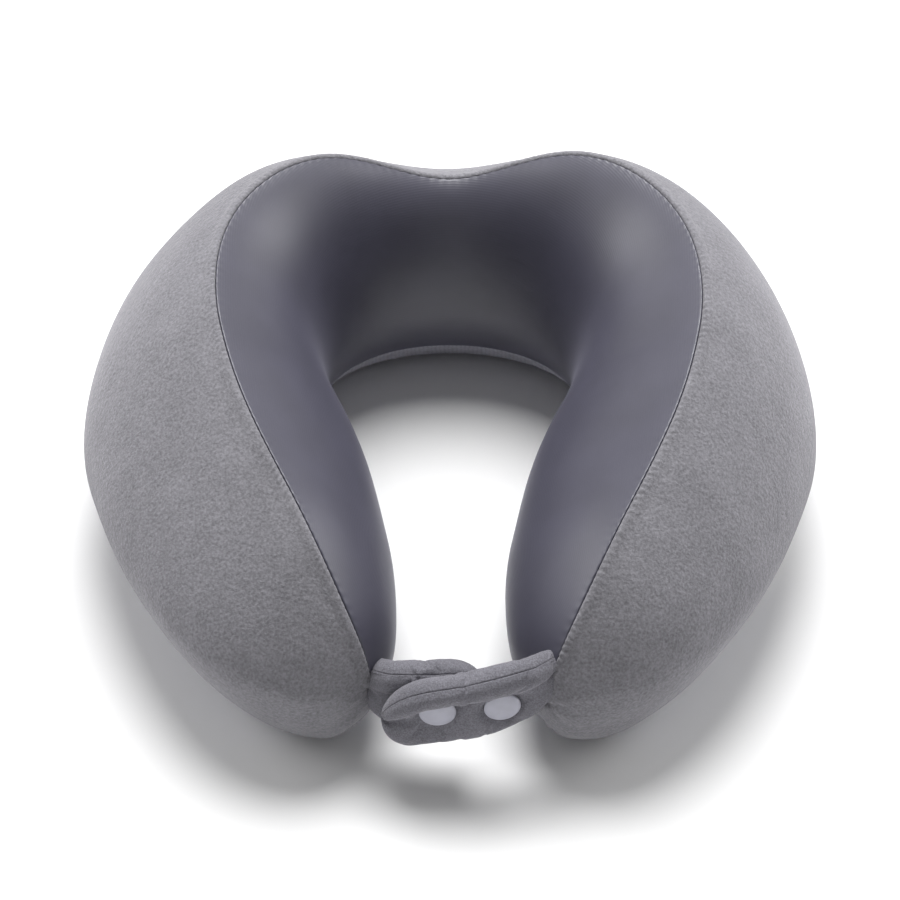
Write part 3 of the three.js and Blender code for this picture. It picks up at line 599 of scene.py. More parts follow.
def near_tip_creases(sheet):
    """Shallow folds that fan out from where the straps pull on the tips."""
    rows, places = sheet["rows"][:, None], sheet["places"]
    fade = smooth_step(np.abs(rows), 1.25, 1.6) * (1 - smooth_step(np.abs(rows), 1.9, 1.99))
    fan = ripple(places * 9.0 + rows * 3.0, places * 15.0 - rows * 5.0 + 1.7)
    return 0.35 * MM * fade * fan


def lumps(sheet, height):
    """Broad, faint unevenness of cloth over foam, 30 to 70 mm from one rise to the next."""
    x, y, z = np.moveaxis(sheet["points"], -1, 0)
    waves = ripple(x / 0.0093 + y / 0.021, y / 0.0081 - z / 0.013 + 1.1, z / 0.0103 + x / 0.017 + 2.3)
    fade = smooth_step(np.minimum(sheet["from_start"], sheet["from_end"]), 2 * MM, 20 * MM)
    on_floor = smooth_step(z, 0.5 * MM, 6 * MM)
    return height * waves * fade * on_floor


def raised(sheet, lift, mitre=None, reach=4 * MM):
    """The sheet's points moved along its normals by lift; near the start edge, along the seam's normal."""
    normals = sheet["normals"]
    if mitre is not None:
        for from_edge in ("from_start", "from_end"):
            if from_edge in mitre:
                share = smooth_step(sheet[from_edge], 0, reach)[..., None]
                normals = unit(mitre[from_edge][:, None] * (1 - share) + normals * share)
    return sheet["points"] + normals * lift[..., None]


def velour_panel(cover):
    """Velour outer and top panel. It rolls into the crest seam with a proud lip, puckered by the stitches."""
    ratio = cover.pucker_rows
    rows = row_values(144 * ratio, 48 * ratio)
    edge = edge_distances(cover.velour_roll, 11 * MM)
    start = np.full_like(rows, CREST_SEAM + SEAM_GAP)
    sheet = panel(rows, start, outer_seam_place(rows) - outer_seam_gap(rows), edge, 46)
    x, length = sheet["from_start"], sheet["along"][:, :1]
    beat = length / cover.pucker_pitch * math.tau
    drift = 1.6 * np.sin(length / (13 * MM)) + 1.1 * np.sin(length / (5.3 * MM) + 0.7)
    wave = 0.5 - 0.5 * np.cos(beat + drift + x / (5 * MM) * math.tau)
    strength = 0.6 + 0.4 * np.sin(length / (8.1 * MM)) * np.sin(length / (21 * MM) + 1)
    strength = strength * (0.3 + 0.7 * smooth_step(np.abs(rows)[:, None], 0.45, 0.7))
    puckers = -cover.pucker_depth * strength * wave ** 2 * np.exp(-((x - 1.4 * MM) / (2.2 * MM)) ** 2)
    lip = cover.lip_height * np.exp(-((x - 2.2 * MM) / (2.1 * MM)) ** 2)
    lift = turned_edge(x, cover.velour_roll) + turned_edge(sheet["from_end"], cover.velour_roll)
    lift += lip + puckers + near_tip_creases(sheet) + lumps(sheet, 0.45 * MM)
    lift[:, 0] -= cover.turn_in
    lift[:, -1] -= cover.turn_in
    points = raised(sheet, lift, {"from_start": seam_normal(rows, CREST_SEAM)})
    faces = graded_faces(len(rows), points.shape[1], ratio, len(edge) - 1)
    return merge_points(make_mesh("velour_outer_cover", points, faces, cloth_uv(sheet)))


def jersey_panel(cover):
    """Stretch jersey panel that faces the neck: taut and smooth, rolling tightly into its seams."""
    rows = row_values(230, 76)
    edge = edge_distances(cover.jersey_roll, 9 * MM)
    sheet = panel(rows, inner_seam_place(rows) + SEAM_GAP, np.full_like(rows, 5 + CREST_SEAM - SEAM_GAP),
                  edge, 48)
    x, length = sheet["from_end"], sheet["along"][:, -1:]
    wave = np.cos(length / cover.pucker_pitch * math.tau / 1.5 + 1.3 * np.sin(length / (11 * MM)))
    scallops = 0.25 * cover.pucker_depth * wave * np.exp(-(x / (2.5 * MM)) ** 2)
    lift = turned_edge(x, cover.jersey_roll) + turned_edge(sheet["from_start"], cover.jersey_roll)
    lift += scallops + lumps(sheet, 0.25 * MM)
    lift[:, 0] -= cover.turn_in
    lift[:, -1] -= cover.turn_in
    points = raised(sheet, lift, {"from_end": seam_normal(rows, CREST_SEAM)})
    faces = [grid_faces(*points.shape[:2])]
    return merge_points(make_mesh("spandex_inner_cover", points, faces, cloth_uv(sheet)))


def base_cover(cover):
    """Knit base panel: flat on the floor, turned up to the two bottom seams, which meet near the tips."""
    every = row_values(288, 96)
    rows = every[np.abs(every) < TIP_WRAP_TO + 0.02]
    edge = edge_distances(cover.jersey_roll, 6 * MM)
    start = np.minimum(outer_seam_place(rows) + outer_seam_gap(rows), INNER_SEAM - 2 * SEAM_GAP)
    sheet = panel(rows, start, inner_seam_place(rows) - SEAM_GAP, edge, 34)
    lift = turned_edge(sheet["from_start"], cover.jersey_roll)
    lift += turned_edge(sheet["from_end"], cover.jersey_roll)
    lift[:, 0] -= cover.turn_in
    lift[:, -1] -= cover.turn_in
    points = raised(sheet, lift)
    return merge_points(make_mesh("base_cover", points, [grid_faces(*points.shape[:2])], cloth_uv(sheet)))


def closed_layer(name, depth, body_steps=120, cap_steps=40, columns=72):
    """A closed body at a depth inside the surface, all round the section and closed at both tips."""
    rows = row_values(body_steps, cap_steps)
    places = np.linspace(0, 5, columns + 1)[:-1]
    points = surface(rows[:, None], places[None, :])
    across = np.roll(points, -1, axis=1) - np.roll(points, 1, axis=1)
    normals = unit(np.cross(np.gradient(points, axis=0), across))
    for end_row, side in ((0, -1), (-1, 1)):
        normals[end_row] = tip_direction(side)
    points = points - normals * depth
    uv = np.stack([travel_along(points, 1), travel_along(points, 0)], axis=-1)
    faces = [grid_faces(len(rows), columns, wrap_columns=True)]
    return merge_points(make_mesh(name, points, faces, uv), 1e-4)


# ---------------------------------------------------------------- zip

def zip_frame(degrees):
    """The zip's places and axes round the back: across the tape, out of the cover, along the track."""
    angle = np.radians(np.asarray(degrees, float))
    origin = surface(0.0, OUTER_SEAM)
    step = 0.004
    round_section = surface(0.0, OUTER_SEAM + step) - surface(0.0, OUTER_SEAM - step)
    normal = unit(np.cross([1.0, 0, 0], round_section))
    radial = np.stack([np.sin(angle), np.cos(angle), np.zeros_like(angle)], axis=-1)
    up = np.array([0, 0, 1.0])
    place = radial * (origin[1] - BACK_CENTRE_Y) + np.array([0, BACK_CENTRE_Y, origin[2]])
    return place, radial * -normal[2] + up * normal[1], radial * normal[1] + up * normal[2]


def zip_points(degrees, across, out):
    """Points at distances across and out of the track, at angles round the back."""
    place, across_axis, out_axis = zip_frame(degrees)
    return place + across_axis * np.asarray(across)[..., None] + out_axis * np.asarray(out)[..., None]


def zip_tape(side, name):
    """Woven tape from beside the teeth to under the edge of the panel, with a corded edge by the teeth."""
    degrees = np.linspace(-ZIP_HALF_ANGLE - 1.5, ZIP_HALF_ANGLE + 1.5, 221)
    profile = np.array([[1.5, -0.5], [1.75, -0.22], [2.1, -0.12], [2.5, -0.25], [2.8, -0.42], [4.2, -0.45],
                        [5.6, -0.8], [6.8, -1.4], [6.8, -1.75], [5.6, -1.15], [4.2, -0.85], [2.6, -0.85],
                        [1.9, -0.95], [1.55, -0.8]]) * MM
    profile[:, 0] *= side
    points = zip_points(degrees[:, None], profile[None, :, 0], profile[None, :, 1])
    across = np.broadcast_to(np.abs(profile[:, 0]), points.shape[:2])
    uv = np.stack([across, travel_along(points, 0)], axis=-1)
    columns = grid_faces(len(degrees), len(profile), wrap_columns=True)
    first_end = np.arange(len(profile))[None, :]
    ends = [first_end, (first_end + (len(degrees) - 1) * len(profile))[:, ::-1]]
    return face_outwards(make_mesh(name, points, [columns, *ends], uv))


def zip_coil(side, name):
    """One row of nylon teeth: every tooth is a rounded hook from the tape's edge to just past the middle."""
    radius = np.linalg.norm(zip_frame(0.0)[0][:2] - np.array([0, BACK_CENTRE_Y]))
    pitch = math.degrees(1.3 * MM / radius)
    count = int(2 * ZIP_HALF_ANGLE / pitch)
    centres = (np.arange(count) - (count - 1) / 2 + side * 0.25) * pitch
    # Along the hook: how far across, how far out, and half its width along and out of the track.
    hook = np.array([[2.25, -0.55, 0.26, 0.26], [1.5, -0.12, 0.3, 0.3], [0.6, -0.02, 0.3, 0.3],
                     [-0.05, -0.05, 0.42, 0.34], [-0.4, -0.1, 0.3, 0.24]]) * MM
    turn = np.linspace(0, math.tau, 7)[:-1]
    along = hook[:, None, 2] * np.cos(turn)
    out = hook[:, None, 1] + hook[:, None, 3] * np.sin(turn) - 0.1 * MM
    across = np.broadcast_to(side * hook[:, None, 0], along.shape)
    degrees = centres[:, None, None] + np.degrees(along / radius)[None]
    points = zip_points(degrees, across[None], out[None])
    ring = len(turn)
    one = grid_faces(len(hook), ring, wrap_columns=True)
    caps = np.stack([np.arange(ring)[::-1], (len(hook) - 1) * ring + np.arange(ring)])
    offsets = (np.arange(count) * len(hook) * ring)[:, None, None]
    faces = [(one[None] + offsets).reshape(-1, 4), (caps[None] + offsets).reshape(-1, ring)]
    return face_outwards(make_mesh(name, points, faces))


def rounded_copy(node, name, width, segments=3):
    """A copy of a CAD node's shape with its points merged, its flats made whole and its edges rounded."""
    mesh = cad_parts[node].data.copy()
    mesh.name = name
    work = bmesh.new()
    work.from_mesh(mesh)
    bmesh.ops.remove_doubles(work, verts=work.verts, dist=1e-6)
    bmesh.ops.dissolve_limit(work, angle_limit=math.radians(4), verts=work.verts, edges=work.edges)
    work.to_mesh(mesh)
    work.free()
    piece = bpy.data.objects.new(name, mesh)
    bpy.context.scene.collection.objects.link(piece)
    bevel = piece.modifiers.new("rounded edges", "BEVEL")
    bevel.width = width
    bevel.segments = segments
    bevel.limit_method = "ANGLE"
    bevel.angle_limit = math.radians(35)
    bevel.harden_normals = True
    mesh.polygons.foreach_set("use_smooth", np.ones(len(mesh.polygons), bool))
    return piece


def topstitches(side, name):
    """A row of short stitches beside the zip, each a thread that dips into the panel at both ends."""
    radius = np.linalg.norm(zip_frame(0.0)[0][:2] - np.array([0, BACK_CENTRE_Y]))
    pitch = math.degrees(3.2 * MM / radius)
    count = int(2 * (ZIP_HALF_ANGLE + 1) / pitch)
    centres = (np.arange(count) - (count - 1) / 2) * pitch
    rows = np.radians(centres) * BACK_RADIUS / BODY_LENGTH
    steps = np.linspace(-1, 1, 7)
    row = rows[:, None] + steps * 1.15 * MM / radius * BACK_RADIUS / BODY_LENGTH
    place = OUTER_SEAM + side * (ZIP_GAP + 0.048)
    centre = surface(row, place)
    step = 0.004
    across = unit(surface(row, place + step) - surface(row, place - step))
    along = unit(np.gradient(centre, axis=1))
    normal = unit(np.cross(along, across))
    dip = 0.22 * MM - 0.5 * MM * steps ** 4
    thick = 0.26 * MM
    turn = np.linspace(0, math.tau, 7)[:-1]
    points = (centre + normal * dip[None, :, None])[:, :, None] + thick * (
        across[:, :, None] * np.cos(turn)[None, None, :, None]
        + normal[:, :, None] * np.sin(turn)[None, None, :, None])
    ring = len(turn)
    one = grid_faces(len(steps), ring, wrap_columns=True)[:, ::-1]
    caps = np.stack([np.arange(ring), (len(steps) - 1) * ring + np.arange(ring)[::-1]])[:, ::-1]
    offsets = (np.arange(count) * len(steps) * ring)[:, None, None]
    faces = [(one[None] + offsets).reshape(-1, 4), (caps[None] + offsets).reshape(-1, ring)]
    return face_outwards(make_mesh(name, points, faces))


# ---------------------------------------------------------------- straps

def turned(vector, angle):
    cos, sin = math.cos(angle), math.sin(angle)
    return np.array([cos * vector[0] - sin * vector[1], sin * vector[0] + cos * vector[1]])


class StrapLine:
    """A strap's middle line in plan, an arc, with the height of its middle along it."""

    def __init__(self, start, direction, radius, length, facing, heights, to_snap):
        self.start, self.direction, self.radius = start, direction, radius
        self.length, self.facing, self.heights, self.to_snap = length, facing, heights, to_snap

    def plan(self, distance):
        turn = np.asarray(distance, float) / self.radius
        left = np.array([-self.direction[1], self.direction[0]])
        point = (self.start + self.direction * (self.radius * np.sin(turn))[..., None]
                 + left * (self.radius * (1 - np.cos(turn)))[..., None])
        tangent = self.direction * np.cos(turn)[..., None] + left * np.sin(turn)[..., None]
        front = np.stack([-tangent[..., 1], tangent[..., 0]], axis=-1) * self.facing
        return point, tangent, front

    def world(self, distance, height, out):
        """Points at a distance along the strap, a height over its middle and a way out of its front."""
        point, _, front = self.plan(distance)
        plan = point + front * np.asarray(out)[..., None]
        return np.concatenate([plan, (self.middle(distance) + height)[..., None]], axis=-1)

    def middle(self, distance):
        root, snap = self.heights
        return root + (snap - root) * np.asarray(distance) / self.to_snap

    def snap_place(self, distance):
        """Distance along the strap and height over its middle of a snap."""
        height = SNAP_HEIGHT if distance == self.to_snap else INNER_SNAP_HEIGHT
        return distance, float(height - self.middle(distance))

    def axis(self, distance):
        front = self.plan(distance)[2]
        return np.array([front[0], front[1], 0.0])


def strap_root(side):
    return (surface(2.0 * side, CREST_SEAM) + tip_direction(side) * STRAP_STANDOFF)[:2]


def front_line():
    """An arc from the right tip to the strap's end, bowed forwards."""
    start = strap_root(1)
    chord = FRONT_STRAP_END - start
    span = np.linalg.norm(chord)
    radius = span ** 2 / 8 / FRONT_STRAP_BOW
    half = math.asin(span / 2 / radius)
    length = 2 * half * radius
    direction = turned(chord / span, half)
    return StrapLine(start, direction, -radius, length, 1, FRONT_MIDDLE, length - SNAP_FROM_END)


def rear_line(front):
    """An arc from the left tip that passes squarely behind the front strap's outer snap."""
    behind = -(FRONT_SEAT + SOCKET_DEPTH + SNAP_FACE_GAP + STUD_DEPTH + REAR_SEAT)
    point, tangent, frontward = front.plan(np.array(front.to_snap))
    meeting = point + frontward * behind
    start = strap_root(-1)
    back = start - meeting
    left = np.array([-tangent[1], tangent[0]])
    radius = back @ back / 2 / (back @ left)
    turn = 2 * math.asin(np.linalg.norm(back) / 2 / radius)
    to_snap = turn * radius
    direction = -turned(tangent, turn)
    return StrapLine(start, direction, -radius, to_snap + REAR_PAST_SNAP, -1, REAR_MIDDLE, to_snap)


# Sections of a padded tongue in millimetres, as (up, out) from the seam on its top edge down the front to the
# seam on its bottom edge, then up the back. A fat roll along the top leans forwards, and hangs over the far
# snap's cap.
FREE_FRONT = (
    (16.4, 3.4), (15.1, 5.7), (12.8, 7.0), (10.2, 7.2), (7.9, 6.5), (6.4, 5.2), (5.1, 4.2),
    (2, 3.9), (-3, 4.2), (-8, 4.5), (-12.5, 4.2), (-16, 2.8), (-17.7, 0.2),
)
SNAP_FRONT = (
    (16.4, 3.4), (15.1, 5.7), (13.0, 6.9), (10.6, 7.1), (8.6, 6.5), (7.6, 5.5), (8.0, 4.1),
    (9.3, 2.8), (4.5, 2.5), (-1.5, 2.5), (-6.5, 2.8), (-13.6, 3.4), (-17.7, 0.2),
)
ROLL_CORNERS = 7  # corners of a front section that belong to the roll
BACK = (
    (-17.7, 0.2), (-16.2, -2.4), (-13, -4.1), (-9, -4.6), (-4.5, -4.5), (0.5, -4.3), (5, -4.5),
    (9, -5.2), (12.7, -5.4), (15.7, -4.1), (17.6, -1.5), (17.7, 1.3), (16.4, 3.4),
)


def rounded_run(corners, count):
    """Points along a smooth curve through a run of corners: cubic runs with centred slopes."""
    corners = np.array(corners) * MM
    ends = np.concatenate([2 * corners[:1] - corners[1:2], corners, 2 * corners[-1:] - corners[-2:-1]])
    x = np.linspace(0, len(corners) - 1, count)
    i = np.minimum(x.astype(int), len(corners) - 2)
    f = (x - i)[:, None]
    weights = (
        -f + 2 * f ** 2 - f ** 3,
        2 - 5 * f ** 2 + 3 * f ** 3,
        f + 4 * f ** 2 - 3 * f ** 3,
        f ** 3 - f ** 2,
    )
    return sum(w * ends[i + k] for k, w in enumerate(weights)) / 2


def strap_tube(length, snaps, seat, fatness, rings=64, half_columns=30):
    """Local points (along, up, out) of a padded tongue: rings round it, closing at its round end.
    Columns run from the top seam down the front, and from the bottom seam up the back."""
    radius = STRAP_HEIGHT / 2
    straight = np.linspace(-ROOT_TUCK, length - radius, rings)
    round_end = length - radius + radius * np.sin(np.radians(np.linspace(0, 90, 19)[1:]))
    along = np.concatenate([straight, round_end])[:, None, None]
    past = np.clip((along - (length - radius)) / radius, 0, 1)
    outline = np.sqrt(np.maximum(1 - past ** 2, 0))
    free, at_snap = (
        np.concatenate([rounded_run(side, half_columns + 1)[:-1] for side in (front, BACK)])
        for front in (FREE_FRONT, SNAP_FRONT)
    )
    nearness = 1 - smooth_step(np.abs(along - snaps[0][0]), 5.0 * MM, 10.5 * MM)
    section = free * (1 - nearness) + at_snap * nearness
    section[..., 1] *= np.where(section[..., 1] > 0, fatness[0], fatness[1])
    narrowing = 1 - ROOT_NARROWING / radius * (1 - along / length)
    up, out = section[..., :1] * outline * narrowing, section[..., 1:] * outline ** 0.6
    gather = smooth_step(along, -ROOT_TUCK, BEND[1])
    belly = 3.6 * MM * (up < 0) * np.sin(math.pi * np.clip(along / (length - radius), 0, 1))
    up = up + belly * up / radius
    up = up * (1 - np.where(up > 0, 0.45, 0.2) * (1 - gather))
    out = out * (0.55 + 0.45 * gather) - (2.5 + 8 * np.clip(up / radius, 0, 1)) * MM * (1 - gather)
    # Each snap pinches the cloth to its seat, apart from the roll.
    column = np.arange(2 * half_columns)[:, None]
    pinched = column >= round(ROLL_CORNERS / (len(FREE_FRONT) - 1) * half_columns)
    for distance, height in snaps:
        pull = pinched * (1 - smooth_step(np.hypot(along - distance, up - height), *PINCH))
        out = out * (1 - pull) + np.sign(out) * np.minimum(np.abs(out), seat) * pull
    return np.concatenate([np.broadcast_to(along, up.shape), up, out], axis=-1)


def puff(local, snaps, pressure, cap):
    """Blows the tongue up as cloth, held at its root and snaps, and caps how far any point moves."""
    scale = 10.0
    rings, columns = local.shape[:2]
    faces = grid_faces(rings, columns, wrap_columns=True)[:, ::-1]
    piece = merge_points(make_mesh("strap_cloth", local * scale, [faces]), 1e-5)
    points = np.empty(len(piece.data.vertices) * 3, np.float32)
    piece.data.vertices.foreach_get("co", points)
    rest = points.reshape(-1, 3).astype(float)
    held = rest[:, 0] < -ROOT_TUCK * scale * 0.5
    for distance, height in snaps:
        held |= np.hypot(rest[:, 0] - distance * scale, rest[:, 1] - height * scale) < HELD_RADIUS * scale
    pins = piece.vertex_groups.new(name="held")
    pins.add([int(i) for i in np.nonzero(held)[0]], 1.0, "REPLACE")
    cloth = piece.modifiers.new("cloth", "CLOTH")
    made = cloth.settings
    made.vertex_group_mass = "held"
    made.quality = 6
    made.mass = 0.3
    made.tension_stiffness = made.compression_stiffness = 12
    made.shear_stiffness = 4
    made.bending_stiffness = 0.15
    made.use_pressure = True
    made.uniform_pressure_force = pressure
    made.shrink_min = -0.06
    made.effector_weights.gravity = 0
    cloth.point_cache.frame_start, cloth.point_cache.frame_end = 1, 24
    cloth.collision_settings.use_collision = False
    scene = bpy.context.scene
    for number in range(1, 25):
        scene.frame_set(number)
    evaluated = piece.evaluated_get(bpy.context.evaluated_depsgraph_get())
    blown = np.empty(len(rest) * 3, np.float32)
    evaluated.data.vertices.foreach_get("co", blown)
    scene.frame_set(1)
    move = (blown.reshape(-1, 3) - rest) / scale
    size = np.linalg.norm(move, axis=1, keepdims=True)
    move *= cap * np.tanh(size / cap) / np.maximum(size, 1e-9)
    bpy.data.objects.remove(piece)
    # The merged mesh drops the end ring's repeats, so each point takes the move of its nearest cloth point.
    flat = local.reshape(-1, 3)
    index = nearest(flat, rest / scale)
    return local + move[index].reshape(local.shape)


def nearest(points, targets):
    """Index of the target nearest to each point."""
    gaps = np.linalg.norm(points[:, None, :] - targets[None, :, :], axis=2)
    return np.argmin(gaps, axis=1)


def seam_turn(edge, beside, inward, dip):
    """Columns that turn a sheet into its seam: from deep inside, over the dip, towards the next column."""
    shares, depths = (0, 0, 0.12, 0.4), (2.2 * MM, dip, dip * 0.3, -0.15 * MM)
    return np.stack([edge + (beside - edge) * s + inward * d for s, d in zip(shares, depths)], axis=1)


def strap_pieces(name, line, snaps, seat, fatness, settings):
    """Front and back cloth of a strap with its padding, from one puffed tube split at its edge seam."""
    calm = strap_tube(line.length, snaps, seat, fatness)
    local = puff(calm, snaps, settings.pressure, settings.swell_cap)
    rings, columns = local.shape[:2]
    half = columns // 2
    inward = unit(np.roll(calm, 3, axis=1) + np.roll(calm, -3, axis=1) - 2 * calm + [-1e-6, 0, 0])
    ending = smooth_step(local[..., :1], line.length - STRAP_HEIGHT / 5, line.length - STRAP_HEIGHT / 12)
    inward = unit(inward * (1 - ending) + np.array([-1.0, 0, 0]) * ending)
    travel = travel_along(local, 0)
    round_way = travel_along(local, 1)
    uv = np.stack([travel, round_way], axis=-1)
    made = []
    for part, first in (("face", 0), ("back", half)):
        used = [(first + k) % columns for k in range(half + 1)]
        points, cloth = local[:, used].copy(), uv[:, used]
        first_turn = seam_turn(points[:, 0], points[:, 1], inward[:, used[0]], settings.seam_dip)
        last_turn = seam_turn(points[:, -1], points[:, -2], inward[:, used[-1]], settings.seam_dip)
        points = np.concatenate([first_turn, points[:, 1:-1], last_turn[:, ::-1]], axis=1)
        repeats = [1] * (half + 1)
        repeats[0] = repeats[-1] = first_turn.shape[1]
        cloth = np.repeat(cloth, repeats, axis=1)
        world = line.world(points[..., 0], points[..., 1], points[..., 2])
        faces = grid_faces(*world.shape[:2])
        if line.facing < 0:
            faces = faces[:, ::-1]
        piece = merge_points(make_mesh(f"{name}_{part}_cloth", world, [faces], cloth))
        smooth_finish(piece)
        thicken(piece, 0.7 * MM)
        made.append(piece)
    outward = np.cross(np.roll(local, -1, axis=1) - np.roll(local, 1, axis=1), np.gradient(local, axis=0))
    outward = outward / np.maximum(np.linalg.norm(outward, axis=-1, keepdims=True), 1e-9)
    filling = local - outward * WADDING_GAP
    inner = line.world(filling[..., 0] - 0.8 * MM, filling[..., 1], filling[..., 2])
    faces = grid_faces(rings, columns, wrap_columns=True)
    start = np.arange(columns)[None, :]
    if line.facing < 0:
        faces, start = faces[:, ::-1], start[:, ::-1]
    padding = merge_points(make_mesh(f"{name}_wadding", inner, [faces, start[:, ::-1]], uv))
    return [*made, padding]


# ---------------------------------------------------------------- snaps

# Rings of the snaps, as (radius, distance from the seat): the socket with its recess, the stud with its nub.
SOCKET_RING = MM * np.array([
    [1.3, 0], [1.3, -0.9], [3.2, -0.9], [3.2, -2.4], [5.1, -2.4], [5.7, -0.8], [5.7, 0],
])
STUD_RING = MM * np.array([
    [1.3, 0], [5.5, 0], [5.5, 0.9], [5.2, 1.2], [2.5, 1.2], [2.2, 2.8], [1.3, 2.8],
])


def rounded(profile, radius, steps=4):
    """A profile with its inside corners rounded: each becomes a short curve that starts radius before it."""
    made = [profile[0]]
    share = np.linspace(0, 1, steps + 1)[:, None]
    for before, corner, after in zip(profile[:-2], profile[1:-1], profile[2:]):
        reach = min(radius, np.linalg.norm(corner - before) * 0.45, np.linalg.norm(after - corner) * 0.45)
        a = corner + unit(before - corner) * reach
        b = corner + unit(after - corner) * reach
        made.extend((1 - share) ** 2 * a + 2 * share * (1 - share) * corner + share ** 2 * b)
    return np.array([*made, profile[-1]])


def revolve(name, profile, centre, axis, turns=72):
    """A body of revolution: the profile (radius, distance along the axis) carried round the axis."""
    axis = unit(axis)
    side = unit(np.cross([0, 0, 1.0], axis))
    up = np.cross(axis, side)
    angle = np.linspace(0, math.tau, turns + 1)[:-1]
    ring = side * np.cos(angle)[:, None] + up * np.sin(angle)[:, None]
    points = centre + axis * profile[:, None, 1:2] + ring[None] * profile[:, None, :1]
    faces = grid_faces(len(profile), turns, wrap_columns=True)
    return face_outwards(merge_points(make_mesh(name, points, [faces]), 1e-6))


def snap_cap(name, line, distance, seat, end, out):
    """Cap of a snap with its pin: a shallow dome with a rolled rim, seated on the cloth."""
    radius, rim, rise = CAP_RADIUS, 0.8 * MM, 1.4 * MM
    dome = np.radians(np.linspace(90, 0, 15))
    shell = np.stack([radius * np.sin(dome), seat + rim + rise * np.cos(dome) ** 1.15], axis=1)
    foot = np.array([[0, end], [PIN_RADIUS, end], [PIN_RADIUS, seat], [radius - 0.45 * MM, seat],
                     [radius, seat + 0.4 * MM]])
    profile = np.concatenate([rounded(foot, 0.25 * MM), shell])
    profile[:, 1] *= out
    return revolve(name, profile, line.world(*line.snap_place(distance), 0.0), line.axis(distance))


def snap_ring(name, line, distance, profile):
    """Socket or stud: a closed ring profile, given as radius and distance out of the strap's front."""
    closed = np.concatenate([profile, profile[:1]])
    shape = rounded(closed, 0.25 * MM)
    return revolve(name, shape, line.world(*line.snap_place(distance), 0.0), line.axis(distance))


# ---------------------------------------------------------------- settings

class CoverSettings(bpy.types.PropertyGroup):
    velour_depth: FloatProperty(name="Velour thickness", description="Thickness of the velour cloth",
                                default=0.8 * MM, unit="LENGTH")
    jersey_depth: FloatProperty(name="Jersey thickness", description="Thickness of the jersey and the base",
                                default=0.6 * MM, unit="LENGTH")
    velour_roll: FloatProperty(name="Velour roll", description="Radius of velour where it turns into a seam",
                               default=1.3 * MM, unit="LENGTH")
    jersey_roll: FloatProperty(name="Jersey roll", description="Radius of jersey where it turns into a seam",
                               default=0.8 * MM, unit="LENGTH")
    turn_in: FloatProperty(name="Seam allowance", description="How far the cloth goes on into the seam",
                           default=2.2 * MM, unit="LENGTH")
    lip_height: FloatProperty(name="Lip", description="How proud the velour stands beside the crest seam",
                              default=1.1 * MM, unit="LENGTH")
    pucker_pitch: FloatProperty(name="Pucker pitch", description="Distance between puckers, one to a stitch",
                                default=2.9 * MM, unit="LENGTH")
    pucker_depth: FloatProperty(name="Pucker depth", description="Depth of the puckers in the velour's edge",
                                default=0.55 * MM, unit="LENGTH")
    pucker_rows: IntProperty(name="Fine rows", description="Rows by the crest seam for each row elsewhere",
                             default=4, min=1)


class StrapSettings(bpy.types.PropertyGroup):
    pressure: FloatProperty(name="Padding pressure", description="How hard the wadding pushes the cloth out",
                            default=2.5)
    swell_cap: FloatProperty(name="Largest swell", description="How far the padding may push the cloth out",
                             default=1.6 * MM, unit="LENGTH")
    seam_dip: FloatProperty(name="Edge seam depth", description="Depth of the seam round a strap's edge",
                            default=0.4 * MM, unit="LENGTH")


def colour_property(name, hex_colour):
    return FloatVectorProperty(name=name, description=name + " colour", size=4, subtype="COLOR", min=0, max=1,
                               default=linear(hex_colour))


class ColourSettings(bpy.types.PropertyGroup):
    velour: colour_property("Velour", "7d7c81")
    strap: colour_property("Strap velour", "74737a")
    jersey: colour_property("Stretch jersey", "434250")
    # Partly painted light: the base knit's grey, set lighter than the cloth to stand in for floor bounce
    # light on the strip of base under the back wall.
    base: colour_property("Base knit and painted bounce light", "a4a3ae")
    liner: colour_property("Liner", "dcdce0")
    foam: colour_property("Foam", "e6dfc8")
    tape: colour_property("Zip tape", "5b5a66")
    coil: colour_property("Zip coil", "55545f")
    enamel: colour_property("Slider enamel", "5f5f67")
    snap: colour_property("Snaps", "b4b4c0")
    satin: colour_property("Care label", "f0f0f0")


class StageSettings(bpy.types.PropertyGroup):
    elevation: FloatProperty(name="Camera elevation", description="Camera's angle above the floor",
                             default=math.radians(42.9), subtype="ANGLE")
    distance: FloatProperty(name="Camera distance", description="From the camera to what it looks at",
                            default=1.218, unit="LENGTH")
    lens: FloatProperty(name="Lens", description="Focal length on a 36 mm sensor", default=116.9)
    key_power: FloatProperty(name="Key light", description="Power of the soft light overhead", default=34.0)
    side_power: FloatProperty(name="Side lights", description="Power of each side light", default=10.0)
    fill: FloatProperty(name="Fill", description="Strength of the even light from all round", default=0.3)


class PillowSettings(bpy.types.PropertyGroup):
    cover: PointerProperty(type=CoverSettings)
    straps: PointerProperty(type=StrapSettings)
    colours: PointerProperty(type=ColourSettings)
    stage: PointerProperty(type=StageSettings)


# ---------------------------------------------------------------- operators

class PILLOW_OT_foam(bpy.types.Operator):
    """Moulded foam core and the thin knit liner round it, both inside the cover"""
    bl_idname = "pillow.foam"
    bl_label = "Foam"

    def execute(self, context):
        core = closed_layer("foam_body", 5 * MM)
        show(core, MATERIALS["foam"], "pillow", "foam", "foam_core")
        liner = closed_layer("liner_sleeve", 3.9 * MM)
        show(thicken(liner, 0.5 * MM), MATERIALS["liner"], "pillow", "liner_knit", "foam_liner")
        return {"FINISHED"}


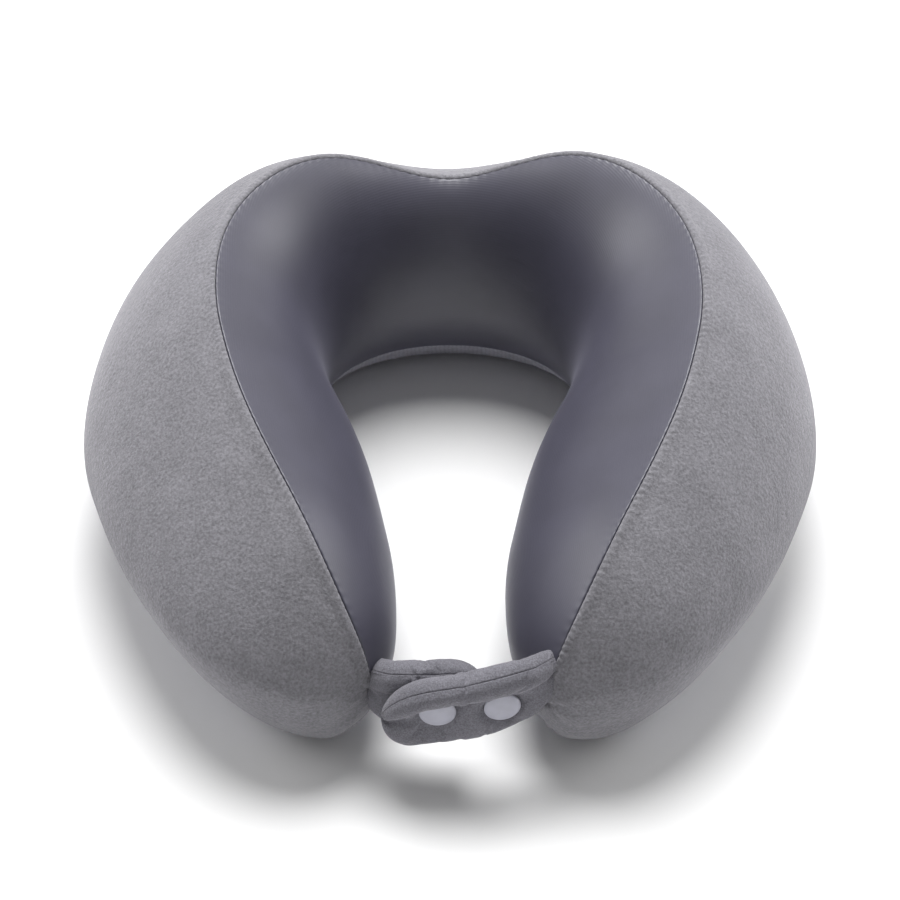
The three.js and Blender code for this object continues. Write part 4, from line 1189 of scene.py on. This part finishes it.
class PILLOW_OT_cover(bpy.types.Operator):
    """The cover's three panels: velour outside, stretch jersey towards the neck, knit underneath"""
    bl_idname = "pillow.cover"
    bl_label = "Cover"

    def execute(self, context):
        cover = context.scene.pillow.cover
        velour = thicken(velour_panel(cover), cover.velour_depth)
        show(velour, MATERIALS["velour"], "pillow", "velour", "velour_outer_panel")
        jersey = thicken(jersey_panel(cover), cover.jersey_depth)
        show(jersey, MATERIALS["jersey"], "pillow", "spandex", "spandex_inner_panel")
        base = thicken(base_cover(cover), cover.jersey_depth)
        show(base, MATERIALS["base"], "pillow", "base_knit", "base_panel")
        return {"FINISHED"}


class PILLOW_OT_zip(bpy.types.Operator):
    """Zip round the back: two tapes, two rows of teeth, the stops, and the slider with its pull tab"""
    bl_idname = "pillow.zip"
    bl_label = "Zip"

    def execute(self, context):
        for level, side in (("upper", 1), ("lower", -1)):
            tape = zip_tape(side, f"tape_{level}")
            show(tape, MATERIALS["tape"], "pillow", "zip_tape", f"zip_tape_{level}")
            coil = zip_coil(side, f"coil_{level}")
            show(coil, MATERIALS["coil"], "pillow", "zip_coil", f"zip_teeth_{level}")
            stitches = topstitches(-side, f"topstitch_{level}")
            show(stitches, MATERIALS["thread"], "pillow", "velour")
        for node in ("zip_stop_left", "zip_stop_right"):
            piece = rounded_copy(node, node.replace("zip_", "") + "_metal", 0.25 * MM)
            show(piece, MATERIALS["enamel"], "pillow", "zip_metal", node)
        slider = rounded_copy("zip_slider", "slider_body", 0.22 * MM)
        show(slider, MATERIALS["enamel"], "zip_slider", "zip_metal", "zip_slider")
        tab = rounded_copy("zip_pull_tab", "pull_tab", 0.2 * MM)
        show(tab, MATERIALS["enamel"], "zip_pull_tab", "zip_metal", "zip_pull_tab")
        return {"FINISHED"}


class PILLOW_OT_label(bpy.types.Operator):
    """Blank satin care label, sewn into the outer seam and lying against the base"""
    bl_idname = "pillow.label"
    bl_label = "Care label"

    def execute(self, context):
        rows = np.linspace(0.63, 0.73, 60)
        places = np.linspace(OUTER_SEAM - 0.002, 2.7, 40)
        points = surface(rows[:, None], places[None, :])
        across = np.gradient(points, axis=1)
        normals = unit(np.cross(np.gradient(points, axis=0), across))
        share = np.linspace(0, 1, 40)[None, :]
        wave = 0.12 * MM * np.sin(rows[:, None] * 190) * share
        lift = 0.55 * MM + wave - 1.2 * MM * (1 - smooth_step(share, 0, 0.12))
        points = points + normals * lift[..., None]
        uv = np.stack([travel_along(points, 1), travel_along(points, 0)], axis=-1)
        label = make_mesh("label_ribbon", points, [grid_faces(60, 40)], uv)
        show(thicken(label, 0.3 * MM), MATERIALS["satin"], "pillow", "label_satin", "care_label")
        return {"FINISHED"}


class PILLOW_OT_straps(bpy.types.Operator):
    """The two padded velour straps, each a front and a back cloth with wadding between them"""
    bl_idname = "pillow.straps"
    bl_label = "Straps"

    def execute(self, context):
        settings = context.scene.pillow.straps
        front = front_line()
        rear = rear_line(front)
        plans = (
            ("front_strap", front, (front.to_snap, front.to_snap - SNAP_PITCH), 2.5 * MM, (1.0, 1.0)),
            ("rear_strap", rear, (rear.to_snap,), 2.2 * MM, (0.75, 1.35)),
        )
        for name, line, snaps, seat, fatness in plans:
            places = [line.snap_place(distance) for distance in snaps]
            pieces = strap_pieces(name, line, places, seat, fatness, settings)
            root, free = (line.world(np.array(bend), 0.0, 0.0) for bend in BEND)
            finishes = (("face", "velour", "strap velour"), ("back", "velour", "strap velour"),
                        ("padding", "padding", "wadding"))
            for piece, (part, slot, finish) in zip(pieces, finishes):
                show(piece, MATERIALS[finish], None, slot, f"{name}_{part}")
                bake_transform(piece)
        return {"FINISHED"}


class PILLOW_OT_snaps(bpy.types.Operator):
    """Moulded snaps: two caps with their sockets on the front strap, a stud and its cap on the rear one"""
    bl_idname = "pillow.snaps"
    bl_label = "Snaps"

    def execute(self, context):
        front = front_line()
        rear = rear_line(front)
        snap = MATERIALS["snap"]
        for which, distance in (("outer", front.to_snap), ("inner", front.to_snap - SNAP_PITCH)):
            distance = np.array(distance)
            cap = snap_cap(f"cap_{which}", front, distance, FRONT_SEAT, -FRONT_SEAT - 0.9 * MM, 1)
            show(cap, snap, "front_strap", "snap_plastic", f"front_cap_{which}")
            socket = snap_ring(f"socket_{which}", front, distance, SOCKET_RING - [0, FRONT_SEAT])
            show(socket, snap, "front_strap", "snap_plastic", f"front_socket_{which}")
        distance = np.array(rear.to_snap)
        stud = snap_ring("stud", rear, distance, STUD_RING + [0, REAR_SEAT])
        show(stud, snap, "rear_strap", "snap_plastic", "rear_stud")
        end = -(REAR_SEAT + STUD_DEPTH + SNAP_FACE_GAP)
        cap = snap_cap("cap_behind", rear, distance, REAR_SEAT, end, -1)
        show(cap, snap, "rear_strap", "snap_plastic", "rear_cap")
        return {"FINISHED"}


class PILLOW_OT_stage(bpy.types.Operator):
    """Plain pale floor, soft overhead light, even fill, and the camera"""
    bl_idname = "pillow.stage"
    bl_label = "Stage"

    def execute(self, context):
        stage = context.scene.pillow.stage
        size = 6.0
        corners = np.array([[-size, -size, 0], [size, -size, 0], [size, size, 0], [-size, size, 0]])
        floor = make_mesh("floor", corners - [0, 0, 0.3 * MM], [np.arange(4)[None, :]])
        material, tree = new_material("matt white floor")
        values = {"Base Color": linear("f4f4f4"), "Roughness": 0.9, "Specular IOR Level": 0.1}
        finish_material(tree, values, {})
        floor.data.materials.append(material)

        world = bpy.data.worlds.new("even light")
        world.use_nodes = True
        world.node_tree.nodes["Background"].inputs["Color"].default_value = linear("ffffff")
        world.node_tree.nodes["Background"].inputs["Strength"].default_value = stage.fill
        context.scene.world = world

        for name, place, size, power in (
            ("key", (0, 0.55, 1.5), 1.1, stage.key_power),
            ("left", (-1.5, 0.55, 0.75), 1.0, stage.side_power),
            ("right", (1.5, 0.55, 0.75), 1.0, stage.side_power),
        ):
            lamp = bpy.data.lights.new(name, "AREA")
            lamp.shape = "DISK"
            lamp.size = size
            lamp.energy = power
            light = bpy.data.objects.new(name, lamp)
            light.location = place
            light.rotation_euler = (Vector((0, 0, 0.05)) - light.location).to_track_quat("-Z", "Y").to_euler()
            context.scene.collection.objects.link(light)

        target = Vector((0, 7.1 * MM, 28.6 * MM))
        back = Vector((0, -math.cos(stage.elevation), math.sin(stage.elevation)))
        camera = bpy.data.objects.new("camera", bpy.data.cameras.new("camera"))
        camera.data.lens = stage.lens
        camera.data.sensor_width = 36
        camera.location = target + back * stage.distance
        camera.rotation_euler = (-back).to_track_quat("-Z", "Y").to_euler()
        context.scene.collection.objects.link(camera)
        context.scene.camera = camera
        context.scene.view_settings.view_transform = "Standard"
        return {"FINISHED"}


class PILLOW_PT_panel(bpy.types.Panel):
    """Sidebar panel that lists the pillow's pieces and settings"""
    bl_idname = "PILLOW_PT_panel"
    bl_label = "Neck Pillow"
    bl_space_type = "VIEW_3D"
    bl_region_type = "UI"
    bl_category = "Neck Pillow"

    def draw(self, context):
        for operator in OPERATORS:
            self.layout.operator(operator.bl_idname)
        pillow = context.scene.pillow
        for group in (pillow.cover, pillow.straps, pillow.colours, pillow.stage):
            box = self.layout.box()
            for name in group.__annotations__:
                box.prop(group, name)


GROUPS = (CoverSettings, StrapSettings, ColourSettings, StageSettings, PillowSettings)
OPERATORS = (
    PILLOW_OT_foam, PILLOW_OT_cover, PILLOW_OT_zip, PILLOW_OT_label,
    PILLOW_OT_straps, PILLOW_OT_snaps, PILLOW_OT_stage,
)


def register():
    for item in (*GROUPS, *OPERATORS, PILLOW_PT_panel):
        bpy.utils.register_class(item)
    bpy.types.Scene.pillow = PointerProperty(type=PillowSettings)


def unregister():
    del bpy.types.Scene.pillow
    for item in reversed((*GROUPS, *OPERATORS, PILLOW_PT_panel)):
        bpy.utils.unregister_class(item)


def main():
    """Registers the add-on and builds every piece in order."""
    register()
    MATERIALS.update(make_materials(bpy.context.scene.pillow.colours))
    for operator in OPERATORS:
        group, name = operator.bl_idname.split(".")
        if getattr(getattr(bpy.ops, group), name)() != {"FINISHED"}:
            raise RuntimeError(f"{operator.bl_label} was not built")


if __name__ == "__main__":
    main()
